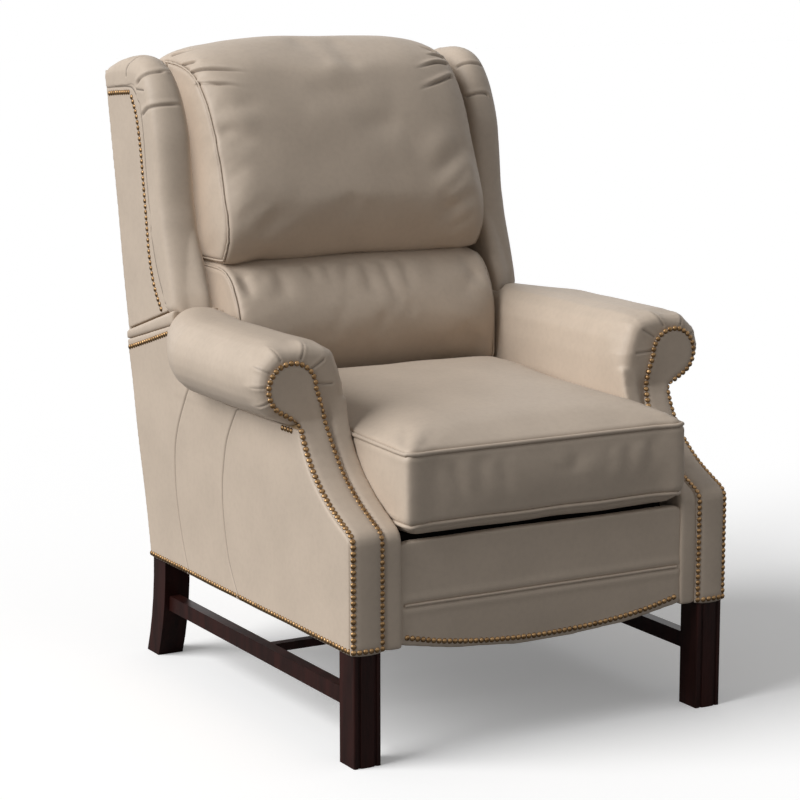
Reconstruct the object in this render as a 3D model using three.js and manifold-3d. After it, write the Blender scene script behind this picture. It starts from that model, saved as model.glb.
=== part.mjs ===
// High-leg wingback recliner: rolled scroll arms, a back and wings that recline, and a folding footrest.
// x runs across the chair, y runs back from the fronts of the arms, z runs up from the floor.
import {
  Box3, BufferAttribute, BufferGeometry, CatmullRomCurve3, CylinderGeometry, ExtrudeGeometry,
  Float32BufferAttribute, Group, Matrix4, Mesh, MeshStandardMaterial, Path, Shape, ShapeUtils,
  SplineCurve, Vector2, Vector3,
} from 'three';
import { mergeVertices } from 'three/addons/utils/BufferGeometryUtils.js';
import Module from 'manifold-3d';

const wasm = await Module();
wasm.setup();

// Clearances
const gap = 0.3;
const overrun = 40;
const pinClearance = 0.4;
const partingClearance = 3;

// The upholstered base
const seatWidth = 524;
const armWidth = 91;
const baseBottom = 181;
const baseDepth = 744;
const baseRakeAngle = 12.9;
const armHeight = 641.5;
const armLength = 637;
const frontHeight = 368;
const scrollDepth = 176;
const scrollHeight = 571;
const scrollRadius = 45;
const rollRadius = 62.5;
const rollOverhang = 9;
const coverThickness = 6;
const frontBand = 29.3;
const frontBandDepth = 46;
const armSkirtHeight = 345;
const rollUnderside = 507;
const rollLip = 26;
const rollTurnIn = 17;
const rollSteps = 10;
const rollUndersideAngle = 72;
const rollTaper = 59;
const rollTaperStart = 480;

// The line where the reclining back parts from the base
const ledgeFrontHeight = 604;
const ledgeFront = 660;
const ledgeAngle = 14.7;
const partingFrontHeight = 623;
const partingFront = 689;
const partingAngle = 17;

// Timber
const legWidth = 47.4;
const frontLegInset = 6;
const frontLegSetback = 1.5;
const legCorner = 3;
const fluteWidth = 5.5;
const fluteDepth = 3;
const faceCrown = 1;
const rearLegInset = 8.5;
const rearLegTop = 701;
const rearLegWidth = 49;
const rearLegFlare = 36;
const rearLegToe = 47;
const stretcherHeight = 27;
const stretcherWidth = 20;
const stretcherBottom = 88;
const stretcherInset = 18;
const crossStretcherHeight = 14;
const crossStretcherWidth = 16;
const crossStretcherFront = 355;
const frameThickness = 32;
const postWidth = 70;
const rearPostWidth = 60;
const armRailTop = 598;
const armRailDepth = 45;
const baseRailDepth = 60;
const frontCrossRail = 222;

// The seat
const seatFrameInset = 12;
const seatFrameFront = 46;
const seatFrameDepth = 512;
const seatFrameHeight = 326;
const seatRailWidth = 32;
const seatRailDepth = 26;
const springWire = 4;
const springSwing = 26;
const springPitch = 60;
const springCount = 4;
const springInset = 14;
const cushionClearance = 1;
const cushionFront = -6;
const cushionDepth = 572;
const cushionWeltFront = 488;
const cushionWeltRear = 502;
const cushionCrown = 36;
const cushionCorner = 42;
const cushionBulge = 8;
const cushionCornerSteps = 5;
const cushionSideSteps = 6;

// The back, which leans at rest
const backHeightDrop = 14;
const backRear = 846;
const backRearHeight = 560;
const backLeanAngle = 10.6;
const backCover = 8;
const backFrameDepth = 70;
const backPostInset = 12;
const backPostWidth = 35;
const backFoot = 322;
const backBottomRail = 45;
const backRail = 60;
const lumbarRail = 640;
const backTopRailDrop = 86;
const outsideBackInset = 2;
const outsideBackFoot = 312;
const outsideBackDrop = 16;
const pivotY = 750;
const pivotZ = 330;

// Wings
const wingSetIn = 20;
const wingSetOut = 8;
const wingFront = 646;
const wingFoot = 632;
const wingHeight = 1058;
const wingRearInset = 5.2;
const wingRound = 20;
const wingFlare = 48;
const wingBoard = 18;
const wingPanelThickness = 8.7;
const wingBorder = 28;
const wingSteps = 14;

// Pillows
const pillowClearance = 5;
const pillowDepth = 219;
const pillowSplit = 706;
const lumbarBottom = 492;
const headRise = 30;
const pillowSteps = 22;

// Steel of the recliner action
const plate = 4;
const linkPitch = 5;
const railFootWidth = 38;
const mechanismFront = 205;
const mechanismRear = 742;
const mechanismDepth = 50;
const pinRadius = 8;
const pinHeadRadius = 12;
const pinHead = 3;
const tubeRadius = 9;
const swingLength = 56;
const swingLean = 40;
const swingZ = 264;
const frontSwingY = 250;
const rearSwingY = 480;
const swingWidth = 26;
const seatPlateInset = 33.7;
const seatPlateDepth = 38;
const seatPlateFront = 50;
const seatPlateMargin = 26;
const backPlateHeight = 110;

// Footrest
const footrestClearance = 2.5;
const footrestTop = 350;
const footrestEnd = 186;
const footrestDrop = 158;
const footrestSetback = 4;
const footrestPad = 18;
const footrestCorner = 12;
const footrestBoard = 16;
const footrestBoardInset = 11;
const footrestRound = 3;
const drivePivotY = 66;
const drivePivotZ = 303;
const elbowY = 190;
const elbowZ = 204;
const footPivotY = 47;
const footPivotZ = 282;
const driveWidth = 28;
const linkWidth = 26;
const linkPin = 7;
const bracketHeight = 90;
const bracketFlange = 30;

// Outlines as shares of the sizes that they follow
const sweepShares = [
  [0, -0.07], [0.018, -0.02], [0.07, 0.025], [0.2, 0.085], [0.43, 0.2],
  [0.68, 0.385], [0.86, 0.6], [0.965, 0.83], [1, 1],
];
const sweepTopShare = 0.89;
const wingShares = [
  [0, 0], [0.038, 0.1], [0.1, 0.22], [0.167, 0.348], [0.205, 0.433], [0.229, 0.564], [0.281, 0.737],
  [0.333, 0.803], [0.434, 0.927], [0.535, 0.981], [0.635, 1], [0.8, 0.986], [0.92, 0.95],
];
const headMiddleShares = [
  [0.741, 0], [0.897, 0.102], [1, 0.22], [0.987, 0.351], [0.929, 0.508], [0.854, 0.67], [0.749, 0.822],
  [0.637, 0.927], [0.46, 0.987], [0.259, 1], [0, 0.979], [-0.197, 0.932], [-0.29, 0.88],
];
const headEdgeShares = [
  [0.72, 0.01], [0.842, 0.1], [0.886, 0.209], [0.849, 0.348], [0.806, 0.508], [0.726, 0.67], [0.65, 0.75],
  [0.55, 0.815], [0.438, 0.85], [0.263, 0.876], [0.039, 0.888], [-0.12, 0.886], [-0.26, 0.872],
];
const headRailShare = 0.854;
const lumbarMiddleShares = [
  [0.6, 0.01], [0.72, 0.05], [0.857, 0.19], [0.98, 0.388], [1, 0.598], [0.924, 0.808], [0.833, 0.93],
  [0.708, 0.995],
];
const lumbarEdgeShares = [
  [0.58, 0.01], [0.72, 0.02], [0.836, 0.08], [0.905, 0.34], [0.925, 0.589], [0.891, 0.752], [0.809, 0.91],
  [0.688, 0.98],
];
const cushionShares = [
  [0.45, 0], [0.94, 0], [0.985, 0.09], [1, 0.155], [1, 0.42], [1, 0.72], [1, 0.8], [0.96, 0.88],
  [0.82, 0.945], [0.55, 0.985], [0.25, 1],
];
const cushionFootShare = 0.155;
const cushionHeadShare = 0.72;
const cushionWeltShare = 0.8;
const pillowStationShares = [
  [-1, 1], [-0.98, 0.72], [-0.93, 0.45], [-0.82, 0.22], [-0.6, 0.06], [0, 0],
  [0.6, 0.06], [0.82, 0.22], [0.93, 0.45], [0.98, 0.72], [1, 1],
];
const rollTaperShares = [[0, 0], [0.2, 0.13], [0.45, 0.36], [0.7, 0.64], [1, 1]];
const armCrownShares = [[0, 0.4], [0.04, 0.66], [0.15, 0.84], [0.34, 0.955], [0.6, 0.995], [1, 1]];

// Degrees and small helpers
const radians = (degrees) => degrees * Math.PI / 180;
const slope = (degrees) => Math.tan(radians(degrees));
const rollUndersideTurn = radians(rollUndersideAngle);
const point = (a, b) => new Vector2(a, b);

// Places worked out from the sizes
const armInner = seatWidth / 2;
const armOuter = armInner + armWidth;
const seatFrameWidth = seatWidth - 2 * seatFrameInset;
const cushionWidth = seatWidth - 2 * cushionClearance;
const footrestWidth = seatWidth - 2 * footrestClearance;
const pillowWidth = seatWidth - 2 * pillowClearance;
const seatPlateX = armInner - seatPlateInset;
const backPostOuter = armInner - backPostInset;
const wingInner = armInner + wingSetIn;
const wingOuter = armOuter - wingSetOut;
const backHeight = wingHeight - backHeightDrop;
const backTopRail = wingHeight - backTopRailDrop;
const headTop = wingHeight + headRise;
const frameOuter = armOuter - coverThickness - gap;
const frameInner = frameOuter - frameThickness;
const padInnerEdge = frameInner - gap;
const legTop = baseBottom - gap;
const rollX = armOuter + rollOverhang;
const rollZ = armHeight - rollRadius;
const railTop = baseBottom + baseRailDepth;
const rearAt = (z) => baseDepth + (z - baseBottom) * slope(baseRakeAngle);
const ledgeAt = (y) => ledgeFrontHeight - (y - ledgeFront) * slope(ledgeAngle);
const partingAt = (y) => partingFrontHeight - (y - partingFront) * slope(partingAngle);
const backAt = (z) => backRear + (z - backRearHeight) * slope(backLeanAngle);
const wingDepth = backAt(wingHeight) - wingRearInset - wingFront;
const railX = armInner - gap - plate;
const swingX = seatPlateX + linkPitch;
const bracketX = swingX + linkPitch;
const linkX = bracketX + linkPitch;
const driveX = linkX + linkPitch;

// Materials
const finishes = {
  leather: { color: 0xb8a994, roughness: 0.55, metalness: 0 },
  wood: { color: 0x35191a, roughness: 0.35, metalness: 0 },
  timber: { color: 0xc2a077, roughness: 0.8, metalness: 0 },
  steel: { color: 0x4a4c50, roughness: 0.45, metalness: 0.8 },
};

const chair = new Group();

function addPiece(name, geometry, finish) {
  geometry.computeVertexNormals();
  const mesh = new Mesh(geometry, new MeshStandardMaterial(finishes[finish]));
  mesh.name = name;
  chair.add(mesh);
}

// A piece made for the right side, and its mirror image for the left
function addPair(name, geometry, finish) {
  addPiece(`${name}_right`, geometry, finish);
  addPiece(`${name}_left`, mirrored(geometry), finish);
}

function mirrored(geometry) {
  const copy = geometry.index ? geometry.toNonIndexed() : geometry.clone();
  copy.applyMatrix4(new Matrix4().makeScale(-1, 1, 1));
  const places = copy.attributes.position;
  for (let i = 0; i < places.count; i += 3) {
    const held = new Vector3().fromBufferAttribute(places, i);
    const other = new Vector3().fromBufferAttribute(places, i + 1);
    places.setXYZ(i, other.x, other.y, other.z);
    places.setXYZ(i + 1, held.x, held.y, held.z);
  }
  copy.deleteAttribute('uv');
  return copy;
}

// Solids for joining and cutting
function toSolid(geometry) {
  const bare = geometry.clone();
  bare.deleteAttribute('normal');
  bare.deleteAttribute('uv');
  const merged = mergeVertices(bare);
  return new wasm.Manifold(new wasm.Mesh({
    numProp: 3,
    vertProperties: new Float32Array(merged.attributes.position.array),
    triVerts: new Uint32Array(merged.index.array),
  }));
}

function toGeometry(solid) {
  const shell = solid.getMesh();
  const geometry = new BufferGeometry();
  geometry.setAttribute('position', new BufferAttribute(new Float32Array(shell.vertProperties), 3));
  geometry.setIndex(new BufferAttribute(new Uint32Array(shell.triVerts), 1));
  return geometry;
}

const join = (...pieces) => toGeometry(pieces.map(toSolid).reduce((whole, piece) => whole.add(piece)));
const cut = (piece, ...tools) => toGeometry(
  tools.map(toSolid).reduce((whole, tool) => whole.subtract(tool), toSolid(piece)),
);

// Extrusions: of a side view (y, z) across the chair, of a front view (x, z) and of a plan (x, y)
const sideView = new Matrix4().makeBasis(new Vector3(0, 1, 0), new Vector3(0, 0, 1), new Vector3(1, 0, 0));
const frontView = new Matrix4().makeBasis(new Vector3(1, 0, 0), new Vector3(0, 0, 1), new Vector3(0, -1, 0));

const asShape = (outline) => (outline instanceof Shape ? outline : new Shape(outline));

function extrudeFor(outline, depth, options = {}) {
  return new ExtrudeGeometry(asShape(outline), { depth, bevelEnabled: false, curveSegments: 5, ...options });
}

const acrossPrism = (outline, x0, x1) => (
  extrudeFor(outline, x1 - x0).applyMatrix4(sideView).translate(x0, 0, 0)
);
const deepPrism = (outline, y0, y1) => (
  extrudeFor(outline, y1 - y0).applyMatrix4(frontView).translate(0, y1, 0)
);
const tallPrism = (outline, z0, z1) => extrudeFor(outline, z1 - z0).translate(0, 0, z0);

// The same with both edges rounded, inside the same outline and ends
function roundedOptions(reach, size) {
  return { bevelEnabled: true, bevelThickness: reach, bevelSize: size, bevelOffset: -size, bevelSegments: 3 };
}

function roundedAcross(outline, x0, x1, round) {
  const piece = extrudeFor(outline, x1 - x0 - 2 * round, roundedOptions(round, round));
  return piece.applyMatrix4(sideView).translate(x0 + round, 0, 0);
}

function roundedDeep(outline, y0, y1, reach, size) {
  const piece = extrudeFor(outline, y1 - y0 - 2 * reach, roundedOptions(reach, size));
  return piece.applyMatrix4(frontView).translate(0, y1 - reach, 0);
}

const block = (x0, x1, y0, y1, z0, z1) => tallPrism([
  point(x0, y0), point(x1, y0), point(x1, y1), point(x0, y1),
], z0, z1);

function rod(y, z, radius, x0, x1) {
  const bar = new CylinderGeometry(radius, radius, x1 - x0, 16);
  return bar.rotateZ(Math.PI / 2).translate((x0 + x1) / 2, y, z);
}

// A flat link with round ends between two pivots
function linkOutline(y0, z0, y1, z1, width) {
  const along = new Vector2(y1 - y0, z1 - z0).angle();
  const shape = new Shape();
  shape.absarc(y0, z0, width / 2, along + Math.PI / 2, along - Math.PI / 2, false);
  shape.absarc(y1, z1, width / 2, along - Math.PI / 2, along + Math.PI / 2, false);
  return shape;
}

const pinHole = (y, z, radius, x0, x1) => rod(y, z, radius + pinClearance, x0 - overrun, x1 + overrun);

// Rings of points, all of one count, skinned into a closed solid with flat triangulated ends
function skin(rings, startOutline, endOutline) {
  const count = rings[0].length;
  const places = rings.flat().flatMap((p) => [p.x, p.y, p.z]);
  const faces = [];
  for (let r = 0; r + 1 < rings.length; r += 1) {
    for (let i = 0; i < count; i += 1) {
      const a = r * count + i;
      const b = r * count + (i + 1) % count;
      faces.push(a, b, b + count, a, b + count, a + count);
    }
  }
  const last = (rings.length - 1) * count;
  const ends = [[startOutline, 0, true], [endOutline, last, false]];
  for (const [outline, base, flip] of ends) {
    const turned = ShapeUtils.isClockWise(outline);
    for (const [a, b, c] of ShapeUtils.triangulateShape(outline, [])) {
      faces.push(...(flip !== turned ? [base + c, base + b, base + a] : [base + a, base + b, base + c]));
    }
  }
  const geometry = new BufferGeometry();
  geometry.setAttribute('position', new Float32BufferAttribute(places, 3));
  geometry.setIndex(faces);
  return facingOut(geometry);
}

function facingOut(geometry) {
  const places = geometry.attributes.position;
  const index = geometry.index.array;
  const [a, b, c] = [new Vector3(), new Vector3(), new Vector3()];
  let volume = 0;
  for (let i = 0; i < index.length; i += 3) {
    a.fromBufferAttribute(places, index[i]);
    b.fromBufferAttribute(places, index[i + 1]);
    c.fromBufferAttribute(places, index[i + 2]);
    volume += a.dot(b.cross(c));
  }
  if (volume < 0) {
    for (let i = 0; i < index.length; i += 3) {
      [index[i], index[i + 1]] = [index[i + 1], index[i]];
    }
  }
  return geometry;
}

// A line moved to the right of its own direction by a distance
function inset(line, distance) {
  return line.map((here, i) => {
    const before = line[Math.max(i - 1, 0)];
    const after = line[Math.min(i + 1, line.length - 1)];
    const first = here.clone().sub(before);
    const second = after.clone().sub(here);
    if (i === 0) first.copy(second);
    if (i === line.length - 1) second.copy(first);
    first.normalize();
    second.normalize();
    const bisector = first.clone().add(second).normalize();
    const reach = distance / bisector.dot(first);
    return point(here.x + bisector.y * reach, here.y - bisector.x * reach);
  });
}

// The part of a rising line that lies below a height
function upTo(height, line) {
  const next = line.findIndex((p) => p.y >= height);
  const [below, above] = [line[next - 1], line[next]];
  return [...line.slice(0, next), below.clone().lerp(above, (height - below.y) / (above.y - below.y))];
}

// Legs and stretchers
function frontLeg() {
  const half = legWidth / 2;
  const flute = half - 0.2 * legWidth;
  const shape = new Shape();
  shape.moveTo(-half, legWidth);
  shape.lineTo(-half, legCorner);
  shape.quadraticCurveTo(-half, 0, legCorner - half, 0);
  for (const middle of [-flute, flute]) {
    shape.lineTo(middle - fluteWidth / 2, 0);
    shape.quadraticCurveTo(middle, 2 * fluteDepth, middle + fluteWidth / 2, 0);
    if (middle < 0) shape.quadraticCurveTo(0, -2 * faceCrown, flute - fluteWidth / 2, 0);
  }
  shape.lineTo(half - legCorner, 0);
  shape.quadraticCurveTo(half, 0, half, legCorner);
  shape.lineTo(half, legWidth);
  return tallPrism(shape, 0, legTop).translate(armOuter - frontLegInset - half, frontLegSetback, 0);
}

function rearLegShape() {
  const top = rearLegTop;
  const heel = top + rearLegFlare;
  const shape = new Shape();
  shape.moveTo(top, legTop);
  shape.quadraticCurveTo(top + faceCrown, legTop * 0.45, heel, 0);
  shape.lineTo(heel + rearLegToe, 0);
  shape.quadraticCurveTo(top + rearLegWidth + faceCrown, legTop * 0.45, top + rearLegWidth, legTop);
  return shape;
}

function rearLeg(forward = 0) {
  const outer = armOuter - rearLegInset;
  return acrossPrism(rearLegShape(), outer - legWidth, outer).translate(0, -forward, 0);
}

addPair('front_leg', frontLeg(), 'wood');
addPair('rear_leg', rearLeg(), 'wood');

const stretcherOuter = armOuter - stretcherInset;
const stretcherInner = stretcherOuter - stretcherWidth;
const stretcherFront = frontLegSetback + legWidth + gap;
const stretcherTop = stretcherBottom + stretcherHeight;
const stretcherRear = rearLegTop + rearLegWidth / 2;
const sideStretcher = cut(
  block(stretcherInner, stretcherOuter, stretcherFront, stretcherRear, stretcherBottom, stretcherTop),
  rearLeg(gap),
);
addPair('side_stretcher', sideStretcher, 'wood');

const crossBottom = stretcherBottom + (stretcherHeight - crossStretcherHeight) / 2;
const crossReach = stretcherInner - gap;
addPiece('cross_stretcher', block(
  -crossReach, crossReach, crossStretcherFront, crossStretcherFront + crossStretcherWidth,
  crossBottom, crossBottom + crossStretcherHeight,
), 'wood');

// The curved front of an arm, from the floor line up to the scroll, moved in by a cover's thickness
const sweepRise = (scrollHeight - frontHeight) * sweepTopShare;
const sweepTop = frontHeight + sweepRise;

function armFront(cover) {
  const knots = sweepShares.map(([back, up]) => point(back * scrollDepth, frontHeight + up * sweepRise));
  const line = [point(0, baseBottom), ...new SplineCurve(knots).getPoints(18)];
  return inset(line, cover);
}

// The timber frame inside each arm
function armPost() {
  const front = armFront(coverThickness + gap);
  const top = point(front[front.length - 1].x, armRailTop);
  const line = [...front, top];
  const rear = line.map((p) => point(p.x + postWidth, p.y)).reverse();
  return acrossPrism([...line, ...rear], frameInner, frameOuter);
}

const postFront = armFront(coverThickness + gap);
const armRailFront = postFront[postFront.length - 1].x + postWidth + gap;
const framedRear = (z) => rearAt(z) - coverThickness - gap;
const ledgeMeets = ledgeFront + (ledgeFrontHeight - gap - armRailTop) / slope(ledgeAngle);

// Where a line that leans back by one slope meets a line that falls toward the back by another
function leaningMeets(backAtFloor, leanSlope, heightAtFront, fallSlope) {
  const z = (heightAtFront - fallSlope * backAtFloor) / (1 + fallSlope * leanSlope);
  return point(backAtFloor + z * leanSlope, z);
}

// The raked rear line of the frame, moved forward, and a line a little below the ledge
const rearMeets = (forward, below) => leaningMeets(
  framedRear(0) - forward, slope(baseRakeAngle), ledgeAt(0) - below, slope(ledgeAngle),
);

function armRail() {
  const top = rearMeets(0, gap);
  const bottom = rearMeets(0, gap + armRailDepth);
  return acrossPrism([
    point(armRailFront, armRailTop), point(ledgeMeets, armRailTop), top, bottom,
    point(ledgeMeets, armRailTop - armRailDepth), point(armRailFront, armRailTop - armRailDepth),
  ], frameInner, frameOuter);
}

function rearPost() {
  const below = 2 * gap + armRailDepth;
  return acrossPrism([
    point(framedRear(baseBottom) - rearPostWidth, baseBottom), point(framedRear(baseBottom), baseBottom),
    rearMeets(0, below), rearMeets(rearPostWidth, below),
  ], frameInner, frameOuter);
}

function sideRail() {
  const front = postFront[0].x + postWidth + gap;
  const reach = rearPostWidth + gap;
  return acrossPrism([
    point(front, baseBottom), point(framedRear(baseBottom) - reach, baseBottom),
    point(framedRear(railTop) - reach, railTop), point(front, railTop),
  ], frameInner, frameOuter);
}

addPair('arm_post', armPost(), 'timber');
addPair('arm_rail', armRail(), 'timber');
addPair('rear_post', rearPost(), 'timber');
addPair('side_rail', sideRail(), 'timber');

const crossRailReach = frameInner - gap;
addPiece('front_cross_rail', block(
  -crossRailReach, crossRailReach, frontCrossRail, frontCrossRail + frameThickness, baseBottom, railTop,
), 'timber');
const rearCrossRear = framedRear(baseBottom);
addPiece('rear_cross_rail', block(
  -crossRailReach, crossRailReach, rearCrossRear - frameThickness, rearCrossRear, baseBottom, railTop,
), 'timber');

// A wing's side outline, grown by a clearance where it cuts its neighbours
function wingFrontLine() {
  const height = wingHeight - wingFoot;
  const knots = wingShares.map(([back, up]) => point(wingFront + back * wingDepth, wingFoot + up * height));
  return new SplineCurve(knots).getPoints(wingSteps);
}

const wingRearAt = (z) => backAt(z) - backCover - gap;

function wingOutline(border, drop = 0) {
  const front = inset(wingFrontLine(), border);
  const top = front[front.length - 1];
  const shoulder = point(wingRearAt(top.y), top.y);
  const rearLow = leaningMeets(wingRearAt(0), slope(backLeanAngle), partingAt(0) - drop, slope(partingAngle));
  const lowFront = point(front[0].x, Math.min(wingFoot, partingAt(front[0].x)) - drop);
  return [lowFront, ...front.slice(1, -1), shoulder, rearLow];
}

// The inner edge of a wing stands further forward than its outer edge, most of all at its foot
function flareWing(geometry) {
  const places = geometry.attributes.position;
  const line = wingFrontLine();
  for (let i = 0; i < places.count; i += 1) {
    const [x, y, z] = [places.getX(i), places.getY(i), places.getZ(i)];
    const height = Math.min(Math.max((z - wingFoot) / (wingHeight - wingFoot), 0), 1);
    const ahead = line.find((p) => p.y >= z) ?? line[line.length - 1];
    const near = Math.max(1 - Math.max(y - ahead.x, 0) / (2 * wingBorder + wingRound), 0);
    const inward = Math.min(Math.max((wingOuter - x) / (wingOuter - wingInner), 0), 1);
    places.setY(i, y - wingFlare * (1 - 1.25 * height) * near * inward);
  }
  return geometry;
}

function wingBody(grow) {
  const outline = wingOutline(-grow, grow);
  if (grow > 0) return flareWing(acrossPrism(outline, wingInner - grow, wingOuter + grow));
  return flareWing(roundedAcross(outline, wingInner, wingOuter, wingRound));
}

// A section of an arm's top, with the centre of its roll at some distance across the chair
function armSection(centre) {
  const crown = armCrownShares.map(([out, up]) => point(
    armInner + out * (centre - armInner), rollUnderside + up * (armHeight - rollUnderside),
  ));
  const underside = Math.min(rollUndersideTurn, Math.acos((armOuter - centre) / rollRadius));
  const roll = Array.from({ length: rollSteps }, (_, i) => {
    const turn = Math.PI / 2 - (i + 1) / rollSteps * (Math.PI / 2 + underside);
    return point(centre + rollRadius * Math.cos(turn), rollZ + rollRadius * Math.sin(turn));
  });
  return [point(armOuter, rollUnderside), point(armInner, rollUnderside), ...crown, ...roll];
}

// The rear of the roll, which narrows until it ends against the foot of the wing
function taperedRoll() {
  const rings = rollTaperShares.map(([back, inward]) => {
    const y = rollTaperStart + back * (armLength - rollTaperStart);
    return armSection(rollX - inward * rollTaper).map((p) => new Vector3(p.x, y, p.y));
  });
  return skin(rings, armSection(rollX), armSection(rollX - rollTaper));
}

// The padded arm: skirt, inner face and the roll over the top
function armPad() {
  const bandInner = armInner + frontBand - gap;
  const skirt = (cover) => {
    const front = armFront(cover);
    const step = armLength - rollTurnIn;
    return [
      ...front, point(step, sweepTop), point(step, ledgeAt(step) - gap),
      rearMeets(0, gap), point(framedRear(armSkirtHeight), armSkirtHeight),
      point(frontBandDepth, armSkirtHeight), point(frontBandDepth, baseBottom),
    ];
  };
  const rollFrontY = scrollDepth + gap;
  const rollSide = rollX + rollRadius + overrun;
  const rollRearY = rollTaperStart + 2 * rollLip;
  const behindRoll = block(
    armInner - overrun, rollSide, rollTaperStart, rollRearY + overrun, baseBottom, armHeight + overrun,
  );
  const straightRoll = cut(
    roundedDeep(armSection(rollX), rollFrontY, rollRearY, rollLip, rollTurnIn), behindRoll,
  );
  const roll = join(straightRoll, taperedRoll());
  const padding = join(
    acrossPrism(skirt(0), armInner, bandInner),
    acrossPrism(skirt(coverThickness + gap), bandInner - gap, padInnerEdge),
    roll,
  );
  const slotFront = armFront(coverThickness);
  const slotTop = armRailTop + gap;
  const slot = acrossPrism([
    ...slotFront, point(slotFront[slotFront.length - 1].x, slotTop),
    point(armLength + overrun, slotTop), point(armLength + overrun, baseBottom),
  ], padInnerEdge, frameOuter + gap);
  const wingRoom = wingBody(partingClearance);
  return cut(padding, slot, wingRoom);
}

addPair('arm_pad', armPad(), 'leather');

// The nailed front panel of an arm: a strip down the sweep, with the round scroll face on top
function armFrontPanel() {
  const strip = acrossPrism(
    [...armFront(0), ...armFront(coverThickness).reverse()],
    armInner + frontBand, armOuter,
  );
  const neckWidth = armOuter - armInner - frontBand;
  const neckInner = armInner + frontBand + 0.2 * neckWidth;
  const waist = scrollHeight - scrollRadius - coverThickness;
  const corner = [
    point(armInner, waist - postWidth), point(armInner + frontBand, waist - postWidth),
    point(neckInner, waist), point(armOuter + overrun, waist),
    point(armOuter + overrun, scrollHeight), point(armInner, scrollHeight),
  ];
  const face = new Shape();
  face.moveTo(neckInner, waist - coverThickness / 2);
  face.lineTo(armOuter, waist - coverThickness / 2);
  face.lineTo(rollX + rollOverhang, waist + coverThickness);
  face.absarc(rollX, scrollHeight, scrollRadius, -Math.PI * 0.35, Math.PI, false);
  face.lineTo(neckInner, waist);
  face.closePath();
  const trimmed = cut(strip, deepPrism(corner, -overrun, scrollDepth + overrun));
  return join(trimmed, deepPrism(face, scrollDepth - coverThickness, scrollDepth));
}

addPair('arm_front_panel', armFrontPanel(), 'leather');

// Outer covers of the base
function sidePanel() {
  const front = upTo(rollUnderside - gap, armFront(coverThickness + gap));
  const step = armLength + gap;
  const rearTop = rearMeets(-coverThickness - gap, gap);
  return acrossPrism([
    ...front, point(step, rollUnderside - gap),
    point(step, ledgeAt(step) - gap), rearTop, point(baseDepth, baseBottom),
  ], frameOuter + gap, armOuter);
}

addPair('side_panel', sidePanel(), 'leather');

function sideTopRoll() {
  const front = armLength + gap;
  const rear = rearAt(ledgeAt(baseDepth)) - gap;
  const outline = [
    point(front, ledgeAt(front)), point(rear, ledgeAt(rear)),
    point(rear, partingAt(rear) - partingClearance), point(front, partingAt(front) - partingClearance),
  ];
  const roll = roundedAcross(outline, armInner, armOuter, coverThickness);
  return cut(roll, wingBody(partingClearance));
}

addPair('side_top_roll', sideTopRoll(), 'leather');

function rearStrip(x0, x1, z1) {
  return acrossPrism([
    point(rearAt(baseBottom) - coverThickness, baseBottom), point(rearAt(baseBottom), baseBottom),
    point(rearAt(z1), z1), point(rearAt(z1) - coverThickness, z1),
  ], x0, x1);
}

const rearPanelReach = armInner - linkPitch;
const rearSideTop = ledgeAt(rearAt(ledgeAt(baseDepth))) - gap;
addPair('rear_side_panel', rearStrip(rearPanelReach + gap, frameOuter, rearSideTop), 'leather');
const rearPanelTop = outsideBackFoot - pinHeadRadius;
addPiece('rear_panel', rearStrip(-rearPanelReach, rearPanelReach, rearPanelTop), 'leather');

// Steel rails of the recliner action, standing on the cross rails
function mechanismRail() {
  const foot = railTop + gap;
  const ear = pinRadius * 2;
  const outline = new Shape();
  outline.moveTo(mechanismFront, foot);
  outline.lineTo(mechanismRear, foot);
  outline.lineTo(pivotY + ear, pivotZ);
  outline.absarc(pivotY, pivotZ, ear, 0, Math.PI, false);
  outline.lineTo(pivotY - 2 * ear, foot + mechanismDepth);
  outline.lineTo(mechanismFront, foot + mechanismDepth);
  const web = acrossPrism(outline, railX, railX + plate);
  const flange = block(railX, railX + railFootWidth, mechanismFront, mechanismRear, foot, foot + plate);
  return cut(
    join(web, flange),
    pinHole(frontSwingY, swingZ, pinRadius, railX, railX),
    pinHole(rearSwingY, swingZ, pinRadius, railX, railX),
    pinHole(pivotY, pivotZ, pinRadius, railX, railX),
  );
}

addPair('mechanism_rail', mechanismRail(), 'steel');

// Swing frames: a tube across the chair with a link at each end, which carry the seat forward
const swingTopOffset = swingLength * Math.sin(radians(swingLean));
const swingTopZ = swingZ + swingLength * Math.cos(radians(swingLean));

function swingFrame(y) {
  const topY = y + swingTopOffset;
  const half = join(
    acrossPrism(linkOutline(y, swingZ, topY, swingTopZ, swingWidth), swingX, swingX + plate),
    rod(topY, swingTopZ, pinRadius, seatPlateX - pinHead, swingX + plate),
  );
  const reach = railX + plate + pinHead;
  return join(half, mirrored(half), rod(y, swingZ, pinRadius, -reach, reach));
}

addPiece('front_swing_frame', swingFrame(frontSwingY), 'steel');
addPiece('rear_swing_frame', swingFrame(rearSwingY), 'steel');

// Seat frame, its steel side plates, springs and cushion
const seatFrameTop = seatFrameHeight + seatRailDepth;
const seatFrameRear = seatFrameFront + seatFrameDepth;

function seatFrame() {
  const half = seatFrameWidth / 2;
  const shape = new Shape([
    point(-half, seatFrameFront), point(half, seatFrameFront),
    point(half, seatFrameRear), point(-half, seatFrameRear),
  ]);
  const inner = half - seatRailWidth;
  shape.holes.push(new Path([
    point(-inner, seatFrameFront + seatRailWidth), point(-inner, seatFrameRear - seatRailWidth),
    point(inner, seatFrameRear - seatRailWidth), point(inner, seatFrameFront + seatRailWidth),
  ]));
  return tallPrism(shape, seatFrameHeight, seatFrameTop);
}

addPiece('seat_frame', seatFrame(), 'timber');

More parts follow.
